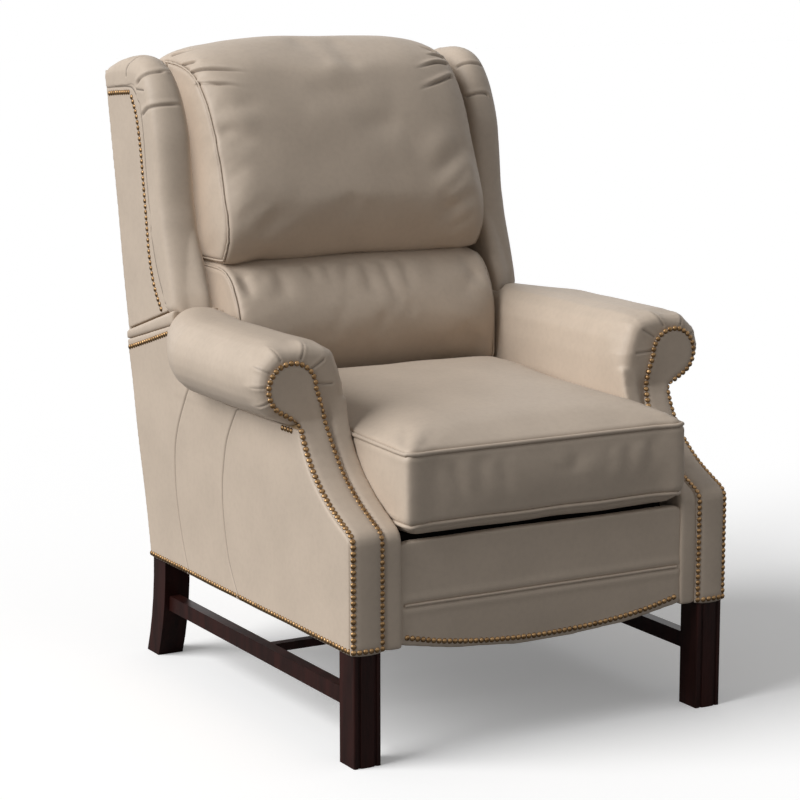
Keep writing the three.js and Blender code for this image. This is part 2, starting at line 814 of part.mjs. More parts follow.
function seatPlate() {
  const top = seatFrameHeight - gap;
  const rear = rearSwingY + swingTopOffset + seatPlateMargin;
  const web = block(seatPlateX, seatPlateX + plate, seatPlateFront, rear, top - seatPlateDepth, top);
  const flange = block(seatPlateX, seatFrameWidth / 2, seatPlateFront, rear, top - plate, top);
  return cut(
    join(web, flange),
    pinHole(drivePivotY, drivePivotZ, tubeRadius, seatPlateX, seatPlateX),
    pinHole(frontSwingY + swingTopOffset, swingTopZ, pinRadius, seatPlateX, seatPlateX),
    pinHole(rearSwingY + swingTopOffset, swingTopZ, pinRadius, seatPlateX, seatPlateX),
  );
}

addPair('seat_plate', seatPlate(), 'steel');

function seatSpring(x) {
  const start = seatFrameFront + springInset;
  const length = seatFrameDepth - 2 * springInset;
  const bends = Math.round(length / springPitch) * 2;
  const z = seatFrameTop + gap + springWire / 2;
  const places = [new Vector3(x, start, z)];
  for (let i = 0; i < bends; i += 1) {
    const middle = start + length * (i + 0.5) / bends;
    const quarter = length / bends / 4;
    const side = i % 2 === 0 ? 1 : -1;
    places.push(new Vector3(x + side * springSwing * 0.8, middle - quarter, z));
    places.push(new Vector3(x + side * springSwing * 0.8, middle + quarter, z));
  }
  places.push(new Vector3(x, start + length, z));
  const wire = new Shape();
  wire.absarc(0, 0, springWire / 2, Math.PI / 4, Math.PI * 2.25, false);
  return new ExtrudeGeometry(wire, {
    steps: places.length * 2, extrudePath: new CatmullRomCurve3(places),
    bevelEnabled: false, curveSegments: 2,
  });
}

const springSpan = seatFrameWidth - 2 * seatRailWidth;
for (let i = 0; i < springCount; i += 1) {
  const x = springSpan * ((i + 0.5) / springCount - 0.5);
  addPiece(`seat_spring_${i + 1}`, seatSpring(x), 'steel');
}

// The plan of the seat cushion: points round its four corners, and spread along its four sides
function cushionPlan(halfWidth, halfDepth) {
  const plan = [];
  [[1, 1], [-1, 1], [-1, -1], [1, -1]].forEach(([sideX, sideY], corner) => {
    const middle = point(sideX * (halfWidth - cushionCorner), sideY * (halfDepth - cushionCorner));
    for (let i = 0; i < cushionCornerSteps; i += 1) {
      const turn = (corner + i / (cushionCornerSteps - 1)) * Math.PI / 2;
      plan.push(point(cushionCorner * Math.cos(turn), cushionCorner * Math.sin(turn)).add(middle));
    }
  });
  return plan.flatMap((here, i) => {
    const next = plan[(i + 1) % plan.length];
    if ((i + 1) % cushionCornerSteps > 0) return [here];
    return Array.from({ length: cushionSideSteps }, (_, k) => here.clone().lerp(next, k / cushionSideSteps));
  });
}

// A cushion as rings of one plan outline, drawn in along its sides and crowned above and below
function seatCushion() {
  const halfWidth = cushionWidth / 2;
  const halfDepth = cushionDepth / 2;
  const middleY = cushionFront + halfDepth;
  const bottom = seatFrameTop + 2 * gap + springWire;
  const top = cushionWeltRear + cushionCrown;
  const plan = cushionPlan(halfWidth, halfDepth);
  const sideSpan = cushionHeadShare - cushionFootShare;
  const rings = cushionShares.map(([reach, up]) => plan.map((spot) => {
    const [across, along] = [spot.x / halfWidth, spot.y / halfDepth];
    const side = Math.sin(Math.PI * Math.min(Math.max((up - cushionFootShare) / sideSpan, 0), 1));
    const puff = along < 0 ? cushionBulge * side * (1 - across * across) * along * along : 0;
    const drop = (cushionWeltRear - cushionWeltFront) * (1 - along) / 2 * Math.min(up / cushionWeltShare, 1);
    const z = bottom + up * (top - bottom) - drop;
    return new Vector3(spot.x * reach, middleY + spot.y * reach - puff, z);
  }));
  const flat = (ring) => ring.map((p) => point(p.x, p.y));
  return skin(rings, flat(rings[0]), flat(rings[rings.length - 1]));
}

addPiece('seat_cushion', seatCushion(), 'leather');

// The reclining back: everything in it leans by a shear along y
const lean = new Matrix4().set(
  1, 0, 0, 0,
  0, 1, slope(backLeanAngle), -backRearHeight * slope(backLeanAngle),
  0, 0, 1, 0,
  0, 0, 0, 1,
);
const leaned = (geometry) => geometry.applyMatrix4(lean);
const backFrameRear = backRear - backCover - gap;
const backFrameFront = backFrameRear - backFrameDepth;
const wingBoardInner = wingOuter - wingPanelThickness - gap - wingBoard;
const backTop = backTopRail + backRail;

function backFrame() {
  const wide = wingBoardInner - gap;
  const right = [
    point(backPostOuter, backFoot), point(backPostOuter, lumbarRail), point(wide, lumbarRail),
    point(wide, lumbarRail + backRail), point(backPostOuter, lumbarRail + backRail),
    point(backPostOuter, backTopRail), point(wide, backTopRail), point(wide, backTop),
  ];
  const left = right.map((p) => point(-p.x, p.y)).reverse();
  const inner = backPostOuter - backPostWidth;
  const windows = [[backFoot + backBottomRail, lumbarRail], [lumbarRail + backRail, backTopRail]];
  return leaned(cut(
    deepPrism([...right, ...left], backFrameFront, backFrameRear),
    ...windows.map(([low, high]) => block(
      -inner, inner, backFrameFront - overrun, backFrameRear + overrun, low, high,
    )),
  ));
}

addPiece('back_frame', backFrame(), 'timber');

function backPlate() {
  const x0 = backPostOuter + gap;
  const ear = pinRadius * 2;
  const rise = backPlateHeight * slope(backLeanAngle);
  const outline = new Shape();
  outline.absarc(pivotY, pivotZ, ear, Math.PI, Math.PI * 2, false);
  outline.lineTo(pivotY + ear + rise + ear, pivotZ + backPlateHeight);
  outline.lineTo(pivotY - ear + rise + ear, pivotZ + backPlateHeight);
  const arm = acrossPrism(outline, x0, x0 + plate);
  return join(arm, rod(pivotY, pivotZ, pinRadius, x0, railX + plate + pinHead / 2));
}

addPair('back_plate', backPlate(), 'steel');

// Wing: padding rolled round the front, a board, and a flat outer panel
const wingSlotX = wingBoardInner - gap;

function wingPad() {
  const slotOutline = wingOutline(wingBorder);
  const [shoulder, rearLow] = slotOutline.slice(-2);
  slotOutline.splice(-1, 0, point(shoulder.x + overrun, shoulder.y), point(rearLow.x + overrun, rearLow.y));
  const slot = acrossPrism(slotOutline, wingSlotX, wingOuter + overrun);
  const [ahead, behind] = [wingFront - overrun, backRear + overrun];
  const footRear = partingFront + (partingFrontHeight - wingFoot) / slope(partingAngle);
  const low = acrossPrism([
    point(ahead, wingFoot), point(footRear, wingFoot), point(behind, partingAt(behind)),
    point(behind, baseBottom), point(ahead, baseBottom),
  ], wingInner - overrun, wingOuter + overrun);
  const rails = [lumbarRail, backTopRail].map((z) => leaned(deepPrism([
    point(backPostOuter, z - gap), point(wingOuter, z - gap),
    point(wingOuter, z + backRail + gap), point(backPostOuter, z + backRail + gap),
  ], backFrameFront - gap, backFrameRear + overrun)));
  return cut(wingBody(0), slot, low, ...rails);
}

addPair('wing_pad', wingPad(), 'leather');
addPair('wing_board', acrossPrism(
  wingOutline(wingBorder + gap), wingBoardInner, wingBoardInner + wingBoard,
), 'timber');
addPair('wing_panel', acrossPrism(
  wingOutline(wingBorder + gap), wingOuter - wingPanelThickness, wingOuter,
), 'leather');

function outsideBack() {
  const wide = wingOuter - outsideBackInset;
  const narrow = armInner - 2 * linkPitch;
  const corner = backHeight - outsideBackDrop;
  const shape = new Shape();
  shape.moveTo(-narrow, outsideBackFoot);
  shape.lineTo(narrow, outsideBackFoot);
  shape.lineTo(narrow, backRearHeight);
  shape.lineTo(wide, backRearHeight);
  shape.lineTo(wide, corner);
  shape.quadraticCurveTo(0, 2 * backHeight - corner, -wide, corner);
  shape.lineTo(-wide, backRearHeight);
  shape.lineTo(-narrow, backRearHeight);
  return leaned(deepPrism(shape, backRear - backCover, backRear));
}

addPiece('outside_back', outsideBack(), 'leather');

// Pillows: side outlines at the middle and at the welted edges, blended across the width.
// A share pair is the reach forward of the back frame and the height above the pillow's foot.
function pillow(middleShares, edgeShares, heightAt, closing) {
  const planeAt = (z) => backFrameFront + (z - backRearHeight) * slope(backLeanAngle);
  const onPlane = (forward, z) => point(planeAt(z) - forward, z);
  const line = (share) => {
    const knots = middleShares.map(([forward, up], i) => {
      const [edgeForward, edgeUp] = edgeShares[i];
      const reach = forward + (edgeForward - forward) * share;
      const rise = up + (edgeUp - up) * share;
      return onPlane(gap + reach * pillowDepth, heightAt(rise));
    });
    const face = new SplineCurve(knots).getPoints(pillowSteps);
    return [...face, ...closing(face[face.length - 1], onPlane)];
  };
  const rings = pillowStationShares.map(([out, share]) => (
    line(share).map((p) => new Vector3(out * pillowWidth / 2, p.x, p.y))
  ));
  return skin(rings, line(1), line(1));
}

// The head pillow's outline passes the top rail of the back at one share of its height
function headPillow() {
  const foot = pillowSplit + gap / 2;
  const onRail = backTop + gap;
  const heightAt = (share) => (share < headRailShare
    ? foot + share / headRailShare * (onRail - foot)
    : onRail + (share - headRailShare) / (1 - headRailShare) * (headTop - onRail));
  return pillow(headMiddleShares, headEdgeShares, heightAt, (last, onPlane) => [
    point(last.x, onRail), onPlane(gap, onRail), onPlane(gap, foot),
  ]);
}

function lumbarPillow() {
  const top = pillowSplit - gap / 2;
  const heightAt = (share) => lumbarBottom + share * (top - lumbarBottom);
  return pillow(lumbarMiddleShares, lumbarEdgeShares, heightAt, (last, onPlane) => [
    onPlane(gap, top), onPlane(gap, lumbarBottom),
  ]);
}

addPiece('head_pillow', headPillow(), 'leather');
addPiece('lumbar_pillow', lumbarPillow(), 'leather');

// Footrest: links on each side, a tube that joins the drive links, and the padded board
function driveFrame() {
  const reach = driveX + plate;
  const outline = linkOutline(drivePivotY, drivePivotZ, elbowY, elbowZ, driveWidth);
  const link = acrossPrism(outline, driveX, reach);
  const drilled = cut(link, pinHole(elbowY, elbowZ, linkPin, driveX, driveX));
  return join(drilled, mirrored(drilled), rod(drivePivotY, drivePivotZ, tubeRadius, -reach, reach));
}

addPiece('footrest_drive_frame', driveFrame(), 'steel');

function frontLink() {
  const headX = driveX + plate + gap;
  const link = join(
    acrossPrism(linkOutline(elbowY, elbowZ, footPivotY, footPivotZ, linkWidth), linkX, linkX + plate),
    rod(elbowY, elbowZ, linkPin, linkX, headX + pinHead / 2),
    rod(elbowY, elbowZ, linkPin + pinHead, headX, headX + pinHead / 2),
  );
  return cut(link, pinHole(footPivotY, footPivotZ, linkPin, linkX, linkX));
}

addPair('footrest_front_link', frontLink(), 'steel');

const footrestPadRear = footrestSetback + footrestPad;
const boardFront = footrestPadRear + gap;
const boardRear = boardFront + footrestBoard;
const boardHalf = bracketX - gap;

function footrestFace() {
  const half = footrestWidth / 2;
  const shape = new Shape();
  shape.moveTo(-half, footrestEnd);
  shape.quadraticCurveTo(0, 2 * footrestDrop - footrestEnd, half, footrestEnd);
  shape.lineTo(half, footrestTop - footrestCorner);
  shape.quadraticCurveTo(half, footrestTop, half - 2 * footrestCorner, footrestTop);
  shape.lineTo(2 * footrestCorner - half, footrestTop);
  shape.quadraticCurveTo(-half, footrestTop, -half, footrestTop - footrestCorner);
  return roundedDeep(shape, footrestSetback, footrestPadRear, footrestRound, footrestRound);
}

addPiece('footrest_pad', footrestFace(), 'leather');
addPiece('footrest_board', block(
  -boardHalf, boardHalf, boardFront, boardRear,
  footrestEnd + footrestBoardInset, footrestTop - footrestBoardInset,
), 'timber');

function footrestBracket() {
  const back = boardRear + gap;
  const low = footPivotZ + linkWidth / 2 - bracketHeight;
  const high = footPivotZ + linkWidth / 2;
  const web = new Shape();
  web.moveTo(back, low);
  web.lineTo(back + plate, low);
  web.absarc(footPivotY, footPivotZ, linkWidth / 2, -Math.PI / 4, Math.PI / 2, false);
  web.lineTo(back, high);
  return join(
    acrossPrism(web, bracketX, bracketX + plate),
    block(bracketX - bracketFlange, bracketX + plate, back, back + plate, low, high),
    rod(footPivotY, footPivotZ, linkPin, bracketX, driveX - gap),
  );
}

addPair('footrest_bracket', footrestBracket(), 'steel');

// The frame that all tools share: the origin on the floor under the middle of the whole chair
const bounds = new Box3().setFromObject(chair);
const middle = bounds.getCenter(new Vector3());
for (const mesh of chair.children) mesh.geometry.translate(0, -middle.y, 0);

export default chair;
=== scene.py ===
"""A wingback recliner in nailed leather: soft covers, piping, nail trim, show wood and a pale studio."""

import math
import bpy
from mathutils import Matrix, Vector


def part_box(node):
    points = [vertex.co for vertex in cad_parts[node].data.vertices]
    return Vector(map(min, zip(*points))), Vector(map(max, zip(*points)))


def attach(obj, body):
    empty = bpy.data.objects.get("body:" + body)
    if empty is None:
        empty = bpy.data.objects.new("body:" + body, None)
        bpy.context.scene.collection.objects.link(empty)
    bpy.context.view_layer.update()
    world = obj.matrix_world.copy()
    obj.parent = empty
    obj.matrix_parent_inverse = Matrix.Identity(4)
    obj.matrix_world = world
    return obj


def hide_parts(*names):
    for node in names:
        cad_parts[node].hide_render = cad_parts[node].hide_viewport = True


bl_info = {
    "name": "Wingback Recliner",
    "version": (1, 0, 0),
    "blender": (4, 5, 0),
    "location": "View3D > Sidebar > Recliner",
    "description": "Leather, piping, nail trim, show wood and a studio for a wingback recliner",
    "category": "Object",
}

import bmesh
import bpy
import numpy as np
from bpy.props import FloatProperty, FloatVectorProperty, PointerProperty
from mathutils import Euler, Vector, noise
from mathutils.bvhtree import BVHTree

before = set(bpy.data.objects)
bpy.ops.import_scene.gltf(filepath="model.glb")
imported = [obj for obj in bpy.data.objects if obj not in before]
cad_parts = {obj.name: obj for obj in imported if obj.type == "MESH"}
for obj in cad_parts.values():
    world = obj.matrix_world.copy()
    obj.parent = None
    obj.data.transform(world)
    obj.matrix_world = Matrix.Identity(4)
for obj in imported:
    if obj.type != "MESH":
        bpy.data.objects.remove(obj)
bpy.ops.object.select_all(action="DESELECT")

MM = 0.001
SIDES = (("right", 1), ("left", -1))

# Depths are measured back from the fronts of the arms, which stand a little ahead of the front legs
LEG_SETBACK = 1.5
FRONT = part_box("front_leg_right")[0].y - LEG_SETBACK * MM

# The photograph's camera
PHOTO_SIZE = 800
LENS = 116.3
SENSOR = 36.0
CAMERA_DEPTH = -3352
CAMERA_PLACE = (-2.171, FRONT + CAMERA_DEPTH * MM, 1.279)
CAMERA_TILT = (math.radians(90 - 10.37), 0, math.radians(-29.59))

# Sizes of the upholstery in millimetres, from the arm fronts back and from the floor up
ROLL_CENTRE = (362, 579)
SCROLL_CENTRE = (362, 571)
SCROLL_FACE = 176
ARM_OUTER = 353
ARM_MIDDLE = 323.5
ROLL_RADIUS = 62
WING_MIDDLE = 314.2
WING_HALF = 32.6

# Settings of the meshes, the cloth and the piping
QUICK_VOXEL = 1.4
SEAM_MESH = (5, 3.5)
CLOTH_FRAMES = 20
CLOTH_QUALITY = 3
PILLOW_PRESSURE = 4
PILLOW_SLACK = 0.012
PILLOW_PINCH = (3.4 * MM, 2.6 * MM)
PILLOW_PIPING = 1.9 * MM
CORD_STEP = 5
RING_POINTS = 160


def linear(code):
    """The linear colour of an sRGB hex value."""
    parts = [int(code[i:i + 2], 16) / 255 for i in (1, 3, 5)]
    return tuple(c / 12.92 if c <= 0.04045 else ((c + 0.055) / 1.055) ** 2.4 for c in parts)


class ReclinerTrim(bpy.types.PropertyGroup):
    """Sizes of the trim"""
    nail: FloatProperty(
        name="Nail head", description="Width of a nail head", default=0.0094, min=0.004, unit="LENGTH")
    pitch: FloatProperty(
        name="Nail pitch", description="Distance between nails in a row", default=0.0097, min=0.004,
        unit="LENGTH")
    piping: FloatProperty(
        name="Piping", description="Width of the covered piping", default=0.0068, min=0.002, unit="LENGTH")
    seam: FloatProperty(
        name="Seam", description="Depth of a plain seam", default=0.0016, min=0.0, unit="LENGTH")


class ReclinerFinish(bpy.types.PropertyGroup):
    """Colours of the finishes"""
    leather: FloatVectorProperty(
        name="Leather", description="Main colour of the hide", subtype="COLOR", size=3,
        default=linear("#C1B1A0"))
    # This darker hide colours the random flecks and also the painted shade in hollows
    leather_deep: FloatVectorProperty(
        name="Leather flecks and painted shade", description="Colour of the random flecks and of the painted shade in hollows", subtype="COLOR", size=3,
        default=linear("#82746A"))
    wood: FloatVectorProperty(
        name="Show wood", description="Colour of the legs and stretchers", subtype="COLOR", size=3,
        default=linear("#2A1512"))
    brass: FloatVectorProperty(
        name="Nail brass", description="Colour of the nail heads", subtype="COLOR", size=3,
        default=linear("#987A56"))


class ReclinerStudio(bpy.types.PropertyGroup):
    """Light and floor"""
    key: FloatProperty(name="Key light", description="Strength of the main light", default=3.15, min=0.0)
    ambient: FloatProperty(
        name="Fill", description="Strength of the light from all round", default=0.27, min=0.0)
    floor: FloatVectorProperty(
        name="Floor", description="Colour of the floor", subtype="COLOR", size=3, default=linear("#FFFFFF"))


# Small helpers
def place(x, depth, z):
    """A point in metres from millimetres across, back from the arm fronts and up."""
    return Vector((x * MM, FRONT + depth * MM, z * MM))


def only(piece):
    """Select this object alone, and make it active."""
    bpy.ops.object.select_all(action="DESELECT")
    piece.select_set(True)
    bpy.context.view_layer.objects.active = piece


def linked(name, data):
    """A new object in the scene."""
    piece = bpy.data.objects.new(name, data)
    bpy.context.collection.objects.link(piece)
    return piece


def shaped_by(piece, kind, **settings):
    """Add a modifier with these settings and apply it."""
    only(piece)
    modifier = piece.modifiers.new(kind.title(), kind)
    for name, value in settings.items():
        setattr(modifier, name, value)
    bpy.ops.object.modifier_apply(modifier=modifier.name)


def points_of(piece):
    """The places of a piece's points, one to a row."""
    flat = np.empty(len(piece.data.vertices) * 3)
    piece.data.vertices.foreach_get("co", flat)
    return flat.reshape(-1, 3)


def normals_of(piece):
    """The directions that a piece's points face, one to a row."""
    flat = np.empty(len(piece.data.vertices) * 3)
    piece.data.vertices.foreach_get("normal", flat)
    return flat.reshape(-1, 3)


def set_points(piece, points):
    piece.data.vertices.foreach_set("co", points.ravel())
    piece.data.update()


def surface_of(piece):
    """A tree of the piece's faces, to cast rays on."""
    mesh = piece.data
    mesh.calc_loop_triangles()
    corners = np.empty(len(mesh.loop_triangles) * 3, dtype=np.int32)
    mesh.loop_triangles.foreach_get("vertices", corners)
    return BVHTree.FromPolygons(points_of(piece).tolist(), corners.reshape(-1, 3).tolist(), all_triangles=True)


def cast(surface, start, direction):
    """Where a ray meets a surface, or None."""
    return surface.ray_cast(start, Vector(direction).normalized())[0]


def photo_line(surface, pixels, flip=1):
    """The points of a surface that the photograph shows at these pixels.

    With flip at -1 the camera and the pixels are mirrored to the recliner's other side."""
    turn = Euler(CAMERA_TILT).to_matrix()
    scale = SENSOR / LENS / PHOTO_SIZE
    half = PHOTO_SIZE / 2
    mirror = Vector((flip, 1, 1))
    camera = Vector(CAMERA_PLACE) * mirror
    rays = [turn @ Vector(((px - half) * scale, (half - py) * scale, -1)) * mirror for px, py in pixels]
    rays = [ray.normalized() for ray in rays]
    hits = [cast(surface, camera, ray) for ray in rays]
    reach = next((hit - camera).length for hit in hits if hit is not None)
    return [hit or surface.find_nearest(camera + ray * reach)[0] for hit, ray in zip(hits, rays)]


def front_line(surface, pairs):
    """The points of a surface, seen from the front, at (across, up)."""
    line = []
    for x, z in pairs:
        start = place(x, -400, z)
        hit = cast(surface, start, (0, 1, 0))
        if hit is None:
            start.y = line[-1].y if line else FRONT
            hit = surface.find_nearest(start)[0]
        line.append(hit)
    return line


def side_line(surface, side, pairs):
    """The points of a surface, seen from one side, at (back, up)."""
    line = []
    for depth, z in pairs:
        hit = cast(surface, place(side * 700, depth, z), (-side, 0, 0))
        if hit is None:
            hit = surface.find_nearest(place(side * ARM_OUTER, depth, z))[0]
        line.append(hit)
    return line


def curved(line, steps=8):
    """A smooth line through a few points."""
    knots = [Vector(p) for p in line]
    knots = [2 * knots[0] - knots[1], *knots, 2 * knots[-1] - knots[-2]]
    made = []
    for a, b, c, d in zip(knots, knots[1:], knots[2:], knots[3:]):
        for i in range(steps):
            t = i / steps
            made.append(0.5 * (
                2 * b + (c - a) * t + (2 * a - 5 * b + 4 * c - d) * t ** 2 + (3 * b - a - 3 * c + d) * t ** 3
            ))
    return [*made, knots[-2]]


def spaced(line, pitch):
    """Points along a line at a pitch, fitted to its whole length."""
    line = np.array([tuple(p) for p in line])
    run = np.concatenate([[0], np.cumsum(np.linalg.norm(np.diff(line, axis=0), axis=1))])
    count = max(round(run[-1] / pitch), 1) + 1
    at = np.linspace(0, run[-1], count)
    return np.stack([np.interp(at, run, line[:, i]) for i in range(3)], axis=1)


def from_line(points, line):
    """How far each point lies from a line, and how far along it, from 0 to 1."""
    line = np.array([tuple(p) for p in line])
    steps = np.diff(line, axis=0)
    lengths = np.maximum(np.linalg.norm(steps, axis=1), 1e-9)
    before = np.concatenate([[0], np.cumsum(lengths)])
    nearest = np.full(len(points), 1e9)
    along = np.zeros(len(points))
    for start, step, length, run in zip(line, steps, lengths, before):
        share = np.clip((points - start) @ step / length ** 2, 0, 1)
        distance = np.linalg.norm(points - start - share[:, None] * step, axis=1)
        nearer = distance < nearest
        nearest[nearer] = distance[nearer]
        along[nearer] = (run + share[nearer] * length) / before[-1]
    return nearest, along


def near_line(points, line, reach):
    """The indices of the points in a box round a line."""
    line = np.array([tuple(p) for p in line])
    inside = np.all((points > line.min(0) - reach) & (points < line.max(0) + reach), axis=1)
    return np.nonzero(inside)[0]


def close_to(points, lines, reach):
    """Which of the points lie within reach of one of the lines."""
    near = np.zeros(len(points), dtype=bool)
    for line in lines:
        boxed = near_line(points, line, reach)
        near[boxed[from_line(points[boxed], line)[0] < reach]] = True
    return near


def eased(share):
    """A share from 0 to 1 that starts and ends gently."""
    share = np.clip(share, 0, 1)
    return share * share * (3 - 2 * share)


# Leather covers
def even_copy(name, node, voxel, rounding, slab=None, rings=None):
    """A closed copy of a solid with an even mesh and rounded corners.

    A slab can be joined on first, as a side of the recliner, its reach across and its outline as (back, up),
    or a closed tube through rings of points."""
    piece = linked(name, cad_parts[node].data.copy())
    if rings or slab:
        mesh = bmesh.new()
        mesh.from_mesh(piece.data)
        if rings:
            loops = [[mesh.verts.new(p) for p in ring] for ring in rings]
            for low, high in zip(loops, loops[1:]):
                for i in range(len(low)):
                    mesh.faces.new((low[i - 1], low[i], high[i], high[i - 1]))
            for cap in (loops[0], loops[-1]):
                mesh.faces.new(cap)
        else:
            side, (inner, outer), outline = slab
            face = mesh.faces.new([mesh.verts.new(place(side * inner, *corner)) for corner in outline])
            grown = bmesh.ops.extrude_face_region(mesh, geom=[face])["geom"]
            corners = [v for v in grown if isinstance(v, bmesh.types.BMVert)]
            bmesh.ops.translate(mesh, verts=corners, vec=(side * (outer - inner) * MM, 0, 0))
        mesh.to_mesh(piece.data)
        mesh.free()
    only(piece)
    bpy.ops.object.mode_set(mode="EDIT")
    bpy.ops.mesh.select_all(action="SELECT")
    bpy.ops.mesh.remove_doubles(threshold=0.00001)
    bpy.ops.mesh.normals_make_consistent(inside=False)
    bpy.ops.object.mode_set(mode="OBJECT")
    coarser = QUICK_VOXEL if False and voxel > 3 else 1
    shaped_by(piece, "REMESH", mode="VOXEL", voxel_size=voxel * MM * coarser)
    relax(piece, rounding)
    return piece


def relax(piece, passes):
    """Round a cover off by a few passes of smoothing."""
    shaped_by(piece, "SMOOTH", factor=0.5, iterations=passes)


def push(piece, distance):
    """Move a cover's points out along their normals."""
    set_points(piece, points_of(piece) + normals_of(piece) * distance[:, None])


def uneven(piece, size, height, seed):
    """Give a cover the slight unevenness of hand-laid padding."""
    shift = Vector((seed * 7.3, seed * 3.1, seed * 5.7))
    waves = [noise.noise(Vector(p) / size + shift) for p in points_of(piece)]
    push(piece, np.array(waves) * height)


def refine(piece, lines, reach):
    """Divide a cover's mesh near some lines, so that narrow seams have points to lie on."""
    near = close_to(points_of(piece), lines, reach)
    mesh = bmesh.new()
    mesh.from_mesh(piece.data)
    edges = [e for e in mesh.edges if near[e.verts[0].index] and near[e.verts[1].index]]
    bmesh.ops.subdivide_edges(mesh, edges=edges, cuts=1, use_grid_fill=True)
    mesh.to_mesh(piece.data)
    mesh.free()


def painted_shade(piece, index, strength):
    """Note the painted shade along seams, folds and nail rows, which darkens the leather's colour."""
    data = piece.data
    marks = data.attributes.get("painted_shade") or data.attributes.new("painted_shade", "FLOAT", "POINT")
    values = np.empty(len(data.vertices))
    marks.data.foreach_get("value", values)
    values[index] = np.maximum(values[index], strength)
    marks.data.foreach_set("value", values)


# A valley's profile in shares of its width: how far it reaches, where its ridge lies and how wide that is,
# and how far out the painted shade reaches
PRESS_REACH = 5
RIDGE_PLACE = 2.4
RIDGE_WIDTH = 1.5
DARK_WIDTH = 0.7


def press(piece, line, width, depth, ridge, ends, beside=None, dark=0.0):
    """Press a valley along a line, with a soft ridge beside it, fading over the shares given as its ends.

    With beside, a direction, the ridge is on that side alone, and the valley is a step."""
    points = points_of(piece)
    close = near_line(points, line, PRESS_REACH * width)
    distance, along = from_line(points[close], line)
    valley = -np.exp(-(distance / width) ** 2)
    raised = ridge * np.exp(-((distance - RIDGE_PLACE * width) / (RIDGE_WIDTH * width)) ** 2)
    if beside is not None:
        middle = spaced(line, 0.5 * width)
        nearest = middle[np.argmin(np.linalg.norm(points[close][:, None] - middle[None], axis=2), axis=1)]
        raised *= eased(0.5 + (points[close] - nearest) @ np.array(beside) / width)
    first, last = ends
    strength = np.ones(len(close))
    if first:
        strength *= eased(along / first)
    if last:
        strength *= eased((1 - along) / last)
    # Painted shade: with dark, the leather is darkened along the valley where shade falls
    if dark:
        painted_shade(piece, close, dark * np.exp(-(distance / (DARK_WIDTH * width)) ** 2) * strength)
    moved = np.zeros(len(points))
    moved[close] = depth * (valley + raised) * strength
    push(piece, moved)


def sew(piece, lines, width, depth, dark):
    """Sink narrow seams into a cover, with painted shade along them."""
    lines = [curved(line) if len(line) < 12 else line for line in lines]
    for reach in SEAM_MESH:
        refine(piece, lines, reach * MM)
    for line in lines:
        press(piece, line, width, depth, ridge=0.25, ends=(0, 0), dark=dark)


def fold(piece, folds, ridge, ends):
    """Press in folds, given as pixels of the photograph, each with its width and depth in millimetres."""
    surface = surface_of(piece)
    for pixels, width, depth in folds:
        press(piece, curved(photo_line(surface, pixels)), width * MM, depth * MM, ridge=ridge, ends=ends)


def swell(piece, held, cap, bending, slack=0.0):
    """Swell a cover as a filled one does, by a cloth simulation with its seams held."""
    start = points_of(piece)
    group = piece.vertex_groups.new(name="seams")
    group.add(np.nonzero(held)[0].tolist(), 1.0, "REPLACE")
    only(piece)
    cloth = piece.modifiers.new("Cloth", "CLOTH")
    cloth.settings.quality = CLOTH_QUALITY
    cloth.settings.use_pressure = True
    cloth.settings.uniform_pressure_force = PILLOW_PRESSURE
    cloth.settings.bending_stiffness = bending
    cloth.settings.shrink_min = -slack
    cloth.settings.vertex_group_mass = group.name
    cloth.settings.effector_weights.gravity = 0
    for number in range(1, CLOTH_FRAMES + 1):
        bpy.context.scene.frame_set(number)
    bpy.ops.object.modifier_apply(modifier=cloth.name)
    bpy.context.scene.frame_set(1)
    piece.vertex_groups.clear()
    moved = points_of(piece) - start
    length = np.linalg.norm(moved, axis=1)
    limit = cap * MM
    scale = np.minimum(1, limit * np.tanh(length / limit) / np.maximum(length, 1e-9))
    set_points(piece, start + moved * scale[:, None])


def cord_along(name, body, lines, radius, surface, proud, closed=True):
    """Covered piping along lines, sunk into the surface that it is sewn to."""
    curve = bpy.data.curves.new(name, "CURVE")
    curve.dimensions = "3D"
    curve.bevel_depth = radius
    curve.bevel_resolution = 2
    curve.use_fill_caps = True
    for line in lines:
        places = spaced(line, CORD_STEP * MM)
        if closed:
            places = places[:-1]
        spline = curve.splines.new("POLY")
        spline.points.add(len(places) - 1)
        for point, spot in zip(spline.points, places):
            hit, normal, _, _ = surface.find_nearest(Vector(spot))
            point.co = (*(hit + normal * radius * proud), 1)
        spline.use_cyclic_u = closed
    only(linked(name, curve))
    bpy.ops.object.convert(target="MESH")
    dress(bpy.context.object, body)


def ring_round(surface, centre, level):
    """A closed line round a piece, at the height that level gives for each depth."""
    line = []
    for i in range(RING_POINTS + 1):
        turn = 2 * math.pi * (i % RING_POINTS) / RING_POINTS
        ahead = Vector((math.cos(turn), math.sin(turn), 0))
        guess = centre + ahead * 0.3
        for _ in range(3):
            start = Vector((centre.x, centre.y, level(guess.y))) + ahead * 0.6
            hit = cast(surface, start, -ahead)
            guess = guess if hit is None else hit
        line.append(guess)
    return line


# Nails, with the height of their dome and of the flat below it as shares of the round head's
DOME = 0.62
FLAT = 0.04


def nail_head(width):
    """One domed nail head, flat below and closed."""
    bpy.ops.mesh.primitive_uv_sphere_add(segments=10, ring_count=6, radius=width / 2)
    piece = bpy.context.object
    bpy.ops.object.mode_set(mode="EDIT")
    bpy.ops.mesh.select_all(action="SELECT")
    bpy.ops.transform.resize(value=(1, 1, DOME))
    bpy.ops.mesh.bisect(plane_co=(0, 0, -width * FLAT), plane_no=(0, 0, 1), use_fill=True, clear_inner=True)
    bpy.ops.object.mode_set(mode="OBJECT")
    return piece


